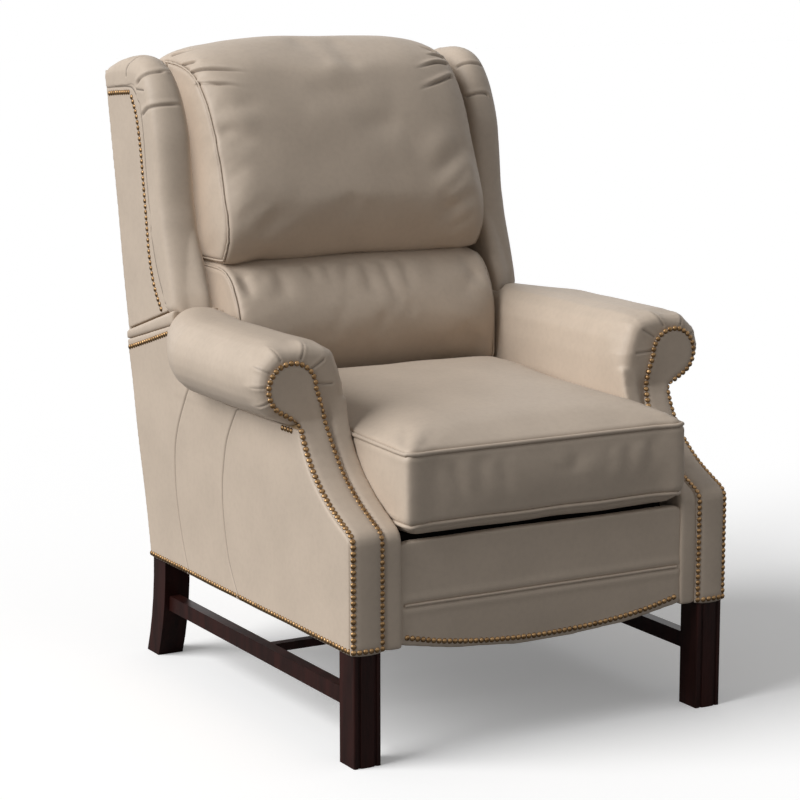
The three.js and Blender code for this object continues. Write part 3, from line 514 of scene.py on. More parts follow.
def nail_rows(name, body, rows, surface):
    """Rows of nails on a surface, as one mesh."""
    trim = bpy.context.scene.recliner_trim
    head = nail_head(trim.nail)
    shape = points_of(head)
    faces = [tuple(f.vertices) for f in head.data.polygons]
    bpy.data.objects.remove(head)
    places, polygons = [], []
    for row in rows:
        for spot in spaced(row, trim.pitch):
            hit, normal, _, _ = surface.find_nearest(Vector(spot))
            turn = normal.to_track_quat("Z", "Y").to_matrix()
            base = len(places) * len(shape)
            places.append(shape @ np.array(turn).T + np.array(hit))
            polygons.extend(tuple(base + i for i in face) for face in faces)
    mesh = bpy.data.meshes.new(name)
    mesh.from_pydata(np.concatenate(places).tolist(), [], polygons)
    dress(linked(name, mesh), body, finish="brass")


# Materials
def add_node(tree, kind, inputs, out=0, **settings):
    """Add a node, set its options, set or link its inputs, and return one of its outputs."""
    made = tree.nodes.new("ShaderNode" + kind)
    for name, value in settings.items():
        setattr(made, name, value)
    for name, value in inputs.items():
        socket = made.inputs[name]
        if isinstance(value, bpy.types.NodeSocket):
            tree.links.new(value, socket)
        else:
            socket.default_value = (*value, 1) if socket.type == "RGBA" else value
    return made.outputs[out] if made.outputs else None


def new_material(name):
    """A material with an empty node tree, and its object coordinates."""
    material = bpy.data.materials.new(name)
    material.use_nodes = True
    tree = material.node_tree
    tree.nodes.clear()
    return material, tree, add_node(tree, "TexCoord", {}, "Object")


def per_mm(size):
    """The scale at which a pattern repeats about once in a size of so many millimetres."""
    return 1 / (size * MM)


def cowhide(tree, spot):
    """Semi-aniline cowhide, drum dyed and given a light wax finish.

    The eye sees a soft satin greige, cloudy tone over a hand's width, fine pores, and darker seams, where shade
    is painted in."""
    finish = bpy.context.scene.recliner_finish
    cloud = add_node(tree, "TexNoise", {"Vector": spot, "Scale": per_mm(85), "Detail": 3.0})
    fleck = add_node(tree, "TexNoise", {"Vector": spot, "Scale": per_mm(9), "Detail": 5.0})
    light = [min(c * 1.025, 1) for c in finish.leather]
    deep = [c * 0.965 for c in finish.leather]
    cloud_share = add_node(tree, "MapRange", {"Value": cloud, "From Min": 0.35, "From Max": 0.65})
    base = add_node(tree, "Mix", {0: cloud_share, 6: deep, 7: light}, out=2, data_type="RGBA")
    fleck_share = add_node(tree, "MapRange", {
        "Value": fleck, "From Min": 0.42, "From Max": 0.7, "To Max": 0.07})
    flecked = add_node(tree, "Mix", {
        0: fleck_share, 6: base, 7: finish.leather_deep}, out=2, data_type="RGBA")
    # Painted shade: darker where the surface curves in, in hollows, and darker still along the seams, folds and
    # nail rows marked on the mesh
    edge = add_node(tree, "NewGeometry", {}, "Pointiness")
    sunk = add_node(tree, "MapRange", {"Value": edge, "From Min": 0.485, "From Max": 0.44, "To Max": 0.6})
    gathered = add_node(tree, "Mix", {0: sunk, 6: flecked, 7: finish.leather_deep}, out=2, data_type="RGBA")
    marked = add_node(tree, "Attribute", {}, "Fac", attribute_name="painted_shade")
    # Painted shade: #594E45 darkens the seams, folds and nail rows marked on the mesh
    seams_folds_shaded = add_node(tree, "Mix", {0: marked, 6: gathered, 7: linear("#594E45")}, out=2, data_type="RGBA")
    # Pores of about a millimetre, and the fine creases between them
    pores = add_node(tree, "TexVoronoi", {"Vector": spot, "Scale": per_mm(1.3)})
    crease = add_node(tree, "TexVoronoi", {"Vector": spot, "Scale": per_mm(4.5)}, feature="DISTANCE_TO_EDGE")
    crease_share = add_node(tree, "MapRange", {"Value": crease, "From Max": 0.12})
    low = add_node(tree, "Bump", {"Height": crease_share, "Strength": 0.12, "Distance": 0.3 * MM})
    grain = add_node(tree, "Bump", {"Height": pores, "Strength": 0.18, "Distance": 0.25 * MM, "Normal": low})
    gloss = add_node(tree, "MapRange", {"Value": fleck, "To Min": 0.44, "To Max": 0.58})
    return {"Base Color": seams_folds_shaded, "Roughness": gloss, "Normal": grain,
        "Specular IOR Level": 0.3, "Sheen Weight": 0.04, "Sheen Roughness": 0.5}


def stained_wood(tree, spot):
    """Mahogany, stained dark and lacquered to a satin.

    The eye sees near black red with fine darker streaks along the grain, and soft window light on the edges."""
    finish = bpy.context.scene.recliner_finish
    streak = add_node(tree, "Mapping", {"Vector": spot, "Scale": (1, 1, 0.09)})
    grain = add_node(tree, "TexNoise", {
        "Vector": streak, "Scale": per_mm(3.5), "Detail": 6.0, "Roughness": 0.6})
    wide = add_node(tree, "TexNoise", {"Vector": streak, "Scale": per_mm(22), "Detail": 2.0})
    share = add_node(tree, "MapRange", {"Value": grain, "From Min": 0.35, "From Max": 0.65})
    dark = [c * 0.45 for c in finish.wood]
    fine = add_node(tree, "Mix", {0: share, 6: dark, 7: finish.wood}, out=2, data_type="RGBA")
    wide_share = add_node(tree, "MapRange", {"Value": wide, "From Min": 0.4, "From Max": 0.62, "To Max": 0.5})
    warm = add_node(tree, "Mix", {0: wide_share, 6: fine, 7: linear("#3A1B17")}, out=2, data_type="RGBA")
    pores = add_node(tree, "Bump", {"Height": grain, "Strength": 0.15, "Distance": 0.2 * MM})
    return {"Base Color": warm, "Roughness": 0.36, "Normal": pores,
        "Specular IOR Level": 0.2}


def sawn_timber(tree, spot):
    """Kiln-dried poplar, sawn and left bare inside the frame.

    The eye sees pale straw with soft growth lines and a dry, open surface."""
    streak = add_node(tree, "Mapping", {"Vector": spot, "Scale": (0.12, 1, 1)})
    rings = add_node(tree, "TexNoise", {
        "Vector": streak, "Scale": per_mm(9), "Detail": 5.0, "Distortion": 0.6})
    tone = add_node(tree, "Mix", {
        0: rings, 6: linear("#A9865C"), 7: linear("#D9BE94")}, out=2, data_type="RGBA")
    rough = add_node(tree, "Bump", {"Height": rings, "Strength": 0.3, "Distance": 0.4 * MM})
    return {"Base Color": tone, "Roughness": 0.78, "Normal": rough}


def shade_dark_decking_cloth(tree, spot):
    """Charcoal decking cloth, stapled over the seat and back frames.

    The eye sees a flat, dark weave a little over a millimetre wide, with no shine. Its dark tone also serves as
    painted shade where the frames show through gaps between the covers."""
    weave = add_node(tree, "TexWave", {"Vector": spot, "Scale": per_mm(2.6)}, "Fac", bands_direction="X")
    cross = add_node(tree, "TexWave", {"Vector": spot, "Scale": per_mm(2.6)}, "Fac", bands_direction="Y")
    both = add_node(tree, "Math", {0: weave, 1: cross}, operation="MULTIPLY")
    lint = add_node(tree, "TexNoise", {"Vector": spot, "Scale": per_mm(30), "Detail": 4.0})
    tone = add_node(tree, "Mix", {
        0: lint, 6: linear("#1D1B19"), 7: linear("#302C29")}, out=2, data_type="RGBA")
    bump = add_node(tree, "Bump", {"Height": both, "Strength": 0.4, "Distance": 0.3 * MM})
    return {"Base Color": tone, "Roughness": 0.95, "Normal": bump,
        "Specular IOR Level": 0.1}


def coated_steel(tree, spot):
    """Pressed steel with a black powder coat.

    The eye sees charcoal with a faint orange peel and a low gloss."""
    peel = add_node(tree, "TexNoise", {"Vector": spot, "Scale": per_mm(1.6), "Detail": 2.0})
    dust = add_node(tree, "TexNoise", {"Vector": spot, "Scale": per_mm(40), "Detail": 4.0})
    tone = add_node(tree, "Mix", {
        0: dust, 6: linear("#26272A"), 7: linear("#3A3B3E")}, out=2, data_type="RGBA")
    bump = add_node(tree, "Bump", {"Height": peel, "Strength": 0.25, "Distance": 0.15 * MM})
    return {"Base Color": tone, "Roughness": 0.42, "Normal": bump}


def spring_wire(tree, spot):
    """Drawn spring steel with a thin oil film.

    The eye sees a cool grey metal with fine drawing lines."""
    drawn = add_node(tree, "TexNoise", {"Vector": spot, "Scale": per_mm(2.5), "Detail": 3.0})
    tone = add_node(tree, "Mix", {
        0: drawn, 6: linear("#6A6C70"), 7: linear("#8F9195")}, out=2, data_type="RGBA")
    gloss = add_node(tree, "MapRange", {"Value": drawn, "To Min": 0.28, "To Max": 0.45})
    return {"Base Color": tone, "Metallic": 1.0, "Roughness": gloss}


def aged_brass(tree, spot):
    """Stamped brass nail heads, antiqued by a dark wash and rubbed back.

    The eye sees warm dull gold on the crowns, brown in the gaps, and a small soft glint on each."""
    finish = bpy.context.scene.recliner_finish
    wash = add_node(tree, "TexNoise", {"Vector": spot, "Scale": per_mm(6), "Detail": 4.0})
    share = add_node(tree, "MapRange", {"Value": wash, "From Min": 0.4, "From Max": 0.68, "To Max": 0.8})
    tone = add_node(tree, "Mix", {0: share, 6: finish.brass, 7: linear("#5A4229")}, out=2, data_type="RGBA")
    gloss = add_node(tree, "MapRange", {"Value": wash, "To Min": 0.3, "To Max": 0.5})
    return {"Base Color": tone, "Metallic": 1.0, "Roughness": gloss}


FINISHES = {
    "leather": ("semi_aniline_leather", cowhide),
    "wood": ("mahogany_satin_lacquer", stained_wood),
    "timber": ("sawn_poplar", sawn_timber),
    "steel": ("powder_coated_steel", coated_steel),
    "wire": ("oiled_spring_steel", spring_wire),
    "brass": ("antiqued_brass", aged_brass),
    "cloth": ("charcoal_decking_cloth_as_shade", shade_dark_decking_cloth),
}
made_materials = {}


def finish_of(name):
    """The material of a finish, made once, with the shader inputs that its maker gives."""
    if name not in made_materials:
        title, maker = FINISHES[name]
        material, tree, spot = new_material(title)
        shader = add_node(tree, "BsdfPrincipled", maker(tree, spot))
        add_node(tree, "OutputMaterial", {"Surface": shader})
        made_materials[name] = material
    return made_materials[name]


def dress(piece, body, node=None, finish="leather"):
    """Give a finished piece its material and its body, and hide the solid that it stands for."""
    piece.data.materials.clear()
    piece.data.materials.append(finish_of(finish))
    only(piece)
    bpy.ops.object.shade_smooth()
    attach(piece, body)
    if node:
        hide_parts(node)


class RECLINER_OT_seat_cushion(bpy.types.Operator):
    """Boxed seat cushion with two rows of piping"""
    bl_idname = "recliner.seat_cushion"
    bl_label = "Seat Cushion"

    # Soft wrinkles of the front boxing as pixels of the photograph, each with its width and depth
    WRINKLES = (
        (((449, 461), (458, 480), (468.5, 504)), 9, 2.2),
        (((480, 452), (482, 472), (485, 492)), 12, 1.2),
        (((497.5, 456), (505, 476), (514.5, 497)), 10, 1.6),
        (((572, 474), (576, 461), (580, 448)), 12, 1.6),
        (((606, 444), (610, 460), (612, 478)), 12, 1.0),
        (((626, 441), (629, 462), (631, 480)), 10, 1.6),
        (((650, 436), (652, 456), (652.6, 474)), 9, 1.8),
    )
    # Heights of the two rows of piping, at the front and at the rear
    WELTS = ((487, 502), (375, 379))
    # The reach of a rounded corner, and the power that squares it
    CORNER = 56
    SQUARE = 14

    def execute(self, context):
        piece = even_copy("seat_cushion_cover", "seat_cushion", voxel=8, rounding=2)
        low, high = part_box("seat_cushion")
        self.square(piece, low, high)
        surface = surface_of(piece)
        welts = [
            ring_round(surface, (low + high) / 2, self.level(low, high, *heights)) for heights in self.WELTS]
        points = points_of(piece)
        held = close_to(points, welts, 6 * MM) | (points[:, 2] < low.z + 4 * MM)
        swell(piece, held, cap=9, bending=4)
        shaped_by(piece, "SUBSURF", levels=1, render_levels=1)
        uneven(piece, size=0.09, height=2.4 * MM, seed=1)
        surface = surface_of(piece)
        welts = [[surface.find_nearest(p)[0] for p in welt] for welt in welts]
        fold(piece, self.WRINKLES, ridge=0.6, ends=(0.3, 0.5))
        refine(piece, welts, 7 * MM)
        # The rows of piping get painted shade along their valleys
        for welt in welts:
            press(piece, welt, 4 * MM, 2.2 * MM, ridge=0.3, ends=(0, 0), dark=0.5)
        dress(piece, "seat", "seat_cushion")
        width = context.scene.recliner_trim.piping
        cord_along("seat_cushion_piping", "seat", welts, width / 2, surface_of(piece), proud=0.75)
        return {"FINISHED"}

    def square(self, piece, low, high):
        """Sharpen the cushion's four upright corners, as its boxing is cut."""
        points = points_of(piece)
        corner = self.CORNER * MM
        middle = (low + high) / 2
        half = (high - low) / 2
        away = [(np.abs(points[:, i] - middle[i]) - half[i] + corner) / corner for i in (0, 1)]
        near = (away[0] > 0) & (away[1] > 0)
        reach = np.hypot(away[0][near], away[1][near])
        flat = (away[0][near] ** self.SQUARE + away[1][near] ** self.SQUARE) ** (1 / self.SQUARE)
        for i in (0, 1):
            side = np.sign(points[near, i] - middle[i])
            points[near, i] += side * away[i][near] * (reach / flat - 1) * corner
        set_points(piece, points)

    @staticmethod
    def level(low, high, front, rear):
        """The height of a row of piping for a place from front to rear."""
        return lambda y: (front + (rear - front) * (y - low.y) / (high.y - low.y)) * MM


class RECLINER_OT_head_pillow(bpy.types.Operator):
    """Head pillow, gathered into its side seams"""
    bl_idname = "recliner.head_pillow"
    bl_label = "Head Pillow"

    # Pleats and folds as pixels of the photograph, each with its width and depth in millimetres
    PLEATS = (
        (((172, 55.8), (186, 51.2), (201, 48.6)), 2.4, 3.0),
        (((183.7, 65.4), (192, 62.6), (213, 61.5)), 2.4, 3.2),
        (((192.4, 73), (204.4, 69.4), (225, 70), (254, 73.2)), 2.6, 3.6),
        (((197.6, 84.8), (216.8, 84.4), (233.4, 86), (250, 90.6)), 2.6, 3.6),
        (((436, 50.6), (430, 47), (415, 45)), 2.4, 2.6),
        (((443, 58), (436, 55.4), (424, 54.6)), 2.4, 3.2),
        (((446.6, 64), (434.5, 63), (414.5, 69.4)), 2.6, 3.6),
        (((450.6, 77), (438.6, 82), (417, 91)), 3, 3.6),
    )
    DRAPES = (
        (((466, 143), (449, 163), (425, 182)), 15, 5.0),
        (((471, 163), (455, 184), (430, 200)), 11, 3.0),
        (((477, 187), (456, 205), (428, 224)), 14, 4.6),
        (((479, 205), (462, 222), (440, 234)), 10, 2.6),
        (((250, 240), (275, 222), (312, 200)), 18, 2.4),
        (((228, 232), (250, 212), (290, 188)), 16, 1.8),
        (((212, 128), (235, 134), (262, 142)), 14, 3.6),
        (((214, 112), (240, 106), (270, 104)), 16, 2.6),
        (((405, 118), (375, 124), (345, 120)), 22, 2.6),
        (((300, 86), (335, 92), (372, 88)), 22, 2.2),
    )
    # The crown sinks a little from this height up
    CROWN = 1030
    SETTLE = 5

    def execute(self, context):
        piece, edges = plump("head_pillow", cap=7, passes=7, size=0.12, seed=2)
        points = points_of(piece)
        points[:, 2] -= self.SETTLE * MM * eased((points[:, 2] / MM - self.CROWN) / 50)
        set_points(piece, points)
        surface = surface_of(piece)
        pleats = [(curved(photo_line(surface, p)), width, depth) for p, width, depth in self.PLEATS]
        fold(piece, self.DRAPES, ridge=0.7, ends=(0.3, 0.6))
        for reach in (10, 6):
            refine(piece, [line for line, _, _ in pleats], reach * MM)
        # The pleats get painted shade in their valleys
        for line, width, depth in pleats:
            press(piece, line, width * MM, depth * MM, ridge=0.7, ends=(0, 0.7), beside=(0, 0, 1), dark=0.6)
        sew_edges(piece, edges, "head_pillow_seams")
        dress(piece, "back", "head_pillow")
        return {"FINISHED"}


def plump(node, cap, passes, size, seed):
    """A pillow's cover, swollen between its side seams, and the seams."""
    piece = even_copy(f"{node}_cover", node, voxel=8, rounding=3)
    edges = [side_seam(node, side) for _, side in SIDES]
    swell(piece, close_to(points_of(piece), edges, 8 * MM), cap, bending=6, slack=PILLOW_SLACK)
    relax(piece, passes)
    shaped_by(piece, "SUBSURF", levels=1, render_levels=1)
    uneven(piece, size=size, height=3 * MM, seed=seed)
    return piece, edges


def side_seam(node, side):
    """The outline of a pillow's side, in order round it."""
    low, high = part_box(node)
    reach = high.x if side > 0 else low.x
    corners = {
        tuple(round(c, 6) for c in v.co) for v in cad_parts[node].data.vertices
        if abs(v.co.x - reach) < 0.1 * MM
    }
    middle = Vector(np.mean(list(corners), axis=0))
    order = sorted(corners, key=lambda p: math.atan2(p[2] - middle.z, p[1] - middle.y))
    return [Vector(p) for p in [*order, order[0]]]


def sew_edges(piece, edges, name):
    """Pinch a pillow in along its side seams, and raise the narrow seam itself."""
    surface = surface_of(piece)
    lines = [[surface.find_nearest(Vector(p))[0] for p in spaced(edge, 6 * MM)] for edge in edges]
    refine(piece, lines, 6 * MM)
    # The side seams get painted shade along their pinch
    for line in lines:
        press(piece, line, *PILLOW_PINCH, ridge=0.2, ends=(0, 0), dark=0.75)
    cord_along(name, "back", lines, PILLOW_PIPING, surface_of(piece), proud=0.9)


class RECLINER_OT_lumbar_pillow(bpy.types.Operator):
    """Lumbar pillow with soft folds under its top seam"""
    bl_idname = "recliner.lumbar_pillow"
    bl_label = "Lumbar Pillow"

    # Folds as pixels of the photograph, each with its width and depth
    FOLDS = (
        (((241, 276), (247.4, 288.7), (256, 302)), 7, 2.0),
        (((273, 264), (282.5, 281.3), (287.2, 296), (288, 312)), 13, 3.0),
        (((306, 264), (313, 275), (316, 286)), 8, 1.6),
        (((323, 263), (330.6, 277.6), (334, 290)), 8, 1.4),
        (((347.5, 258), (346.4, 272), (344.5, 298)), 10, 1.9),
        (((361, 261), (369.5, 281), (372.3, 297)), 10, 2.1),
        (((380, 259), (389, 277.6), (394.5, 294), (396.3, 311)), 9, 2.6),
        (((400, 257), (407.4, 277.6), (411, 299)), 10, 2.0),
        (((432, 256), (434, 274), (432, 292)), 14, 1.2),
        (((476, 268), (470, 282), (464, 298)), 10, 1.8),
    )
    # The sides stay so far inside the solid, clear of the base when the back reclines
    CLEAR = 2

    def execute(self, context):
        piece, edges = plump("lumbar_pillow", cap=8, passes=4, size=0.1, seed=3)
        low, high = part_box("lumbar_pillow")
        points = points_of(piece)
        points[:, 0] = np.clip(points[:, 0], low.x + self.CLEAR * MM, high.x - self.CLEAR * MM)
        set_points(piece, points)
        fold(piece, self.FOLDS, ridge=0.6, ends=(0.15, 0.7))
        sew_edges(piece, edges, "lumbar_pillow_seams")
        dress(piece, "back", "lumbar_pillow")
        return {"FINISHED"}


class RECLINER_OT_arms(bpy.types.Operator):
    """Padded arms, pleated round the scrolls"""
    bl_idname = "recliner.arms"
    bl_label = "Arms"

    # Angles of the corners round the roll's gathered end, from straight up towards the outside
    CORNERS = (-94, -60, -25, 25, 62, 93, 125)
    # How far back the roll is gathered, over what length that fades, and the core that it leaves alone
    GATHER = 20
    FADE = 36
    CORE = 25
    # Each pleat's line as the distance back from the scroll and out from the roll's centre
    PATH = ((-2, 42), (0, 50), (5, 58), (12, 66), (22, 72), (32, 76))

    def execute(self, context):
        for name, side in SIDES:
            piece = even_copy(f"arm_cover_{name}", f"arm_pad_{name}", voxel=4, rounding=6)
            uneven(piece, size=0.11, height=2.4 * MM, seed=4 + side)
            surface = surface_of(piece)
            lines = [self.pleat(surface, side, angle) for angle in self.CORNERS]
            refine(piece, lines, 14 * MM)
            self.facet(piece, side)
            lines = [self.pleat(surface_of(piece), side, angle) for angle in self.CORNERS]
            # The pleats round the scroll get painted shade in their valleys
            for line in lines:
                press(piece, line, 1.8 * MM, 1.2 * MM, ridge=0.3, ends=(0, 0.5), dark=0.5)
            dress(piece, "base", f"arm_pad_{name}")
        return {"FINISHED"}

    def facet(self, piece, side):
        """Flatten the roll between its pleats, most of all where the leather turns in."""
        points = points_of(piece)
        across = points[:, 0] * side - ROLL_CENTRE[0] * MM
        up = points[:, 2] - ROLL_CENTRE[1] * MM
        radius = np.maximum(np.hypot(across, up), 1e-6)
        turn = np.degrees(np.arctan2(across, up))
        back = points[:, 1] - FRONT - SCROLL_FACE * MM
        gathered = eased(1 - (back - self.GATHER * MM) / (self.FADE * MM))
        gathered *= (back > -3 * MM) & (radius > self.CORE * MM)
        for first, last in zip(self.CORNERS, self.CORNERS[1:]):
            here = (turn >= first) & (turn < last)
            half = math.radians(last - first) / 2
            offset = np.radians(turn[here] - (first + last) / 2)
            facet = radius[here] * (math.cos(half) / np.cos(offset) - 1) * gathered[here]
            points[here, 0] += side * across[here] / radius[here] * facet
            points[here, 2] += up[here] / radius[here] * facet
        set_points(piece, points)

    def pleat(self, surface, side, angle):
        """A pleat's line from the scroll out and back over the roll."""
        turn = math.radians(angle)
        out = Vector((side * math.sin(turn), 0, math.cos(turn)))
        line = []
        for depth, reach in self.PATH:
            centre = place(side * ROLL_CENTRE[0], SCROLL_FACE + depth, ROLL_CENTRE[1])
            line.append(surface.find_nearest(centre + out * reach * MM)[0])
        return line


class RECLINER_OT_arm_fronts(bpy.types.Operator):
    """Nailed front panels of the arms"""
    bl_idname = "recliner.arm_fronts"
    bl_label = "Arm Fronts"

    INNER_ROW = ((298, 188), (298, 250), (298, 330), (298, 400), (299, 440), (301, 475), (305, 508), (311, 540))
    OUTER_ROW = ((348.5, 188), (348.5, 430), (349.5, 505))
    # The nails round the scroll: their radius, and the angles of the first and last from straight up
    SCROLL_NAILS = 41.5
    SCROLL_TURN = (-92, 150)
    NECK = ((372, 529), (360, 521), (354, 513))
    HEM_NAILS = ((308, 187), (318, 187), (328, 187), (339, 187))
    RIM = 42
    # The padding of the flat part, up to a height
    PADDING = 3
    PADDED_UP_TO = 520

    def execute(self, context):
        for name, side in SIDES:
            piece = even_copy(f"arm_front_cover_{name}", f"arm_front_panel_{name}", voxel=3, rounding=3)
            points = points_of(piece)
            away = (np.abs(points[:, 0]) / MM - ARM_MIDDLE) / 25
            low = eased((self.PADDED_UP_TO - points[:, 2] / MM) / 40)
            ahead = normals_of(piece)[:, 1] < -0.2
            push(piece, self.PADDING * MM * np.clip(1 - away ** 2, 0, 1) * low * ahead)
            self.tuck(piece, side)
            surface = surface_of(piece)
            rows = self.rows(side, surface)
            # The nail rows get painted shade in their valleys
            for row in rows:
                press(piece, row, 4 * MM, 0.8 * MM, ridge=0.5, ends=(0, 0), dark=0.35)
            surface = surface_of(piece)
            dress(piece, "base", f"arm_front_panel_{name}")
            nail_rows(f"arm_front_nails_{name}", "base", rows, surface)
        return {"FINISHED"}

    def rows(self, side, surface):
        """The row up the inner edge, round the scroll and down the outer edge, and the short row at the hem."""
        arc = []
        for turn in np.radians(np.linspace(*self.SCROLL_TURN, 25)):
            arc.append((
                SCROLL_CENTRE[0] + self.SCROLL_NAILS * math.sin(turn),
                SCROLL_CENTRE[1] + self.SCROLL_NAILS * math.cos(turn)))
        scroll, hem = [
            front_line(surface, [(side * x, z) for x, z in pairs])
            for pairs in ((*arc, *self.NECK), self.HEM_NAILS)]
        inner, outer = [self.climb(surface, side, row) for row in (self.INNER_ROW, self.OUTER_ROW)]
        return [[*inner, *curved(scroll, 4), *reversed(outer)], hem]

    @staticmethod
    def climb(surface, side, pairs):
        """A row up the front and over the sweep, from (across, up), on rays that come down at the front."""
        heights = [z for _, z in pairs]
        line = []
        x = pairs[0][0]
        for rise in range(0, 500, 4):
            hit = cast(surface, place(side * x, -300, heights[0] + 225 + rise), (0, 1, -0.75))
            if hit is None or hit.z > heights[-1] * MM:
                break
            line.append(hit)
            x = np.interp(hit.z / MM, heights, [across for across, _ in pairs])
        return line

    def tuck(self, piece, side):
        """Draw the scroll's rim in under its nails."""
        points = points_of(piece)
        across = points[:, 0] - side * SCROLL_CENTRE[0] * MM
        up = points[:, 2] - SCROLL_CENTRE[1] * MM
        radius = np.hypot(across, up)
        rim = self.RIM * MM
        outside = (radius > rim) & (up > -30 * MM) & (points[:, 1] > FRONT + (SCROLL_FACE - 20) * MM)
        outside &= (across * side > 0) | (up > 0)
        share = (rim + (radius[outside] - rim) * 0.3) / radius[outside]
        points[outside, 0] = side * SCROLL_CENTRE[0] * MM + across[outside] * share
        points[outside, 2] = SCROLL_CENTRE[1] * MM + up[outside] * share
        set_points(piece, points)


class RECLINER_OT_sides(bpy.types.Operator):
    """Outer sides of the base, with their seams and nails"""
    bl_idname = "recliner.sides"
    bl_label = "Sides"

    REAR_SEAM = ((548, 532), (561, 526), (603, 468), (628, 412), (634, 358), (630, 306), (615, 247), (586, 183))
    FRONT_SEAM = ((386, 504), (394, 500), (430, 446), (446, 392), (450, 357), (447, 307), (429, 242), (391, 183))
    TOP_NAILS = ((819, 547), (740, 569), (660, 592))
    HEM_NAILS = ((6, 188), (240, 188), (480, 188), (741, 188))
    UNDER_ROLL = ((196, 501), (226, 501))
    # The flat side goes on up beside the narrowing end of the roll
    RISE = ((440, 490), (440, 509), (480, 510), (520, 514), (560, 521), (600, 531), (634, 541), (634, 490))

    def execute(self, context):
        for name, side in SIDES:
            slab = (side, (ARM_OUTER - 5, ARM_OUTER + 0.6), self.RISE)
            piece = even_copy(f"side_cover_{name}", f"side_panel_{name}", voxel=3, rounding=3, slab=slab)
            uneven(piece, size=0.16, height=2.0 * MM, seed=8 + side)
            surface = surface_of(piece)
            seams = [
                side_line(surface, side, curve_pairs(pairs)) for pairs in (self.REAR_SEAM, self.FRONT_SEAM)]
            sew(piece, seams, 2 * MM, context.scene.recliner_trim.seam, dark=0.6)
            dress(piece, "base", f"side_panel_{name}")
            surface = surface_of(piece)
            rows = [
                side_line(surface, side, pairs)
                for pairs in (self.TOP_NAILS, self.HEM_NAILS, self.UNDER_ROLL)]
            nail_rows(f"side_nails_{name}", "base", rows, surface)
            roll = even_copy(f"side_top_cover_{name}", f"side_top_roll_{name}", voxel=3, rounding=5)
            dress(roll, "base", f"side_top_roll_{name}")
        return {"FINISHED"}


def curve_pairs(pairs):
    """A smooth line through a few pairs."""
    return [(p.x, p.y) for p in curved([(a, b, 0) for a, b in pairs])]


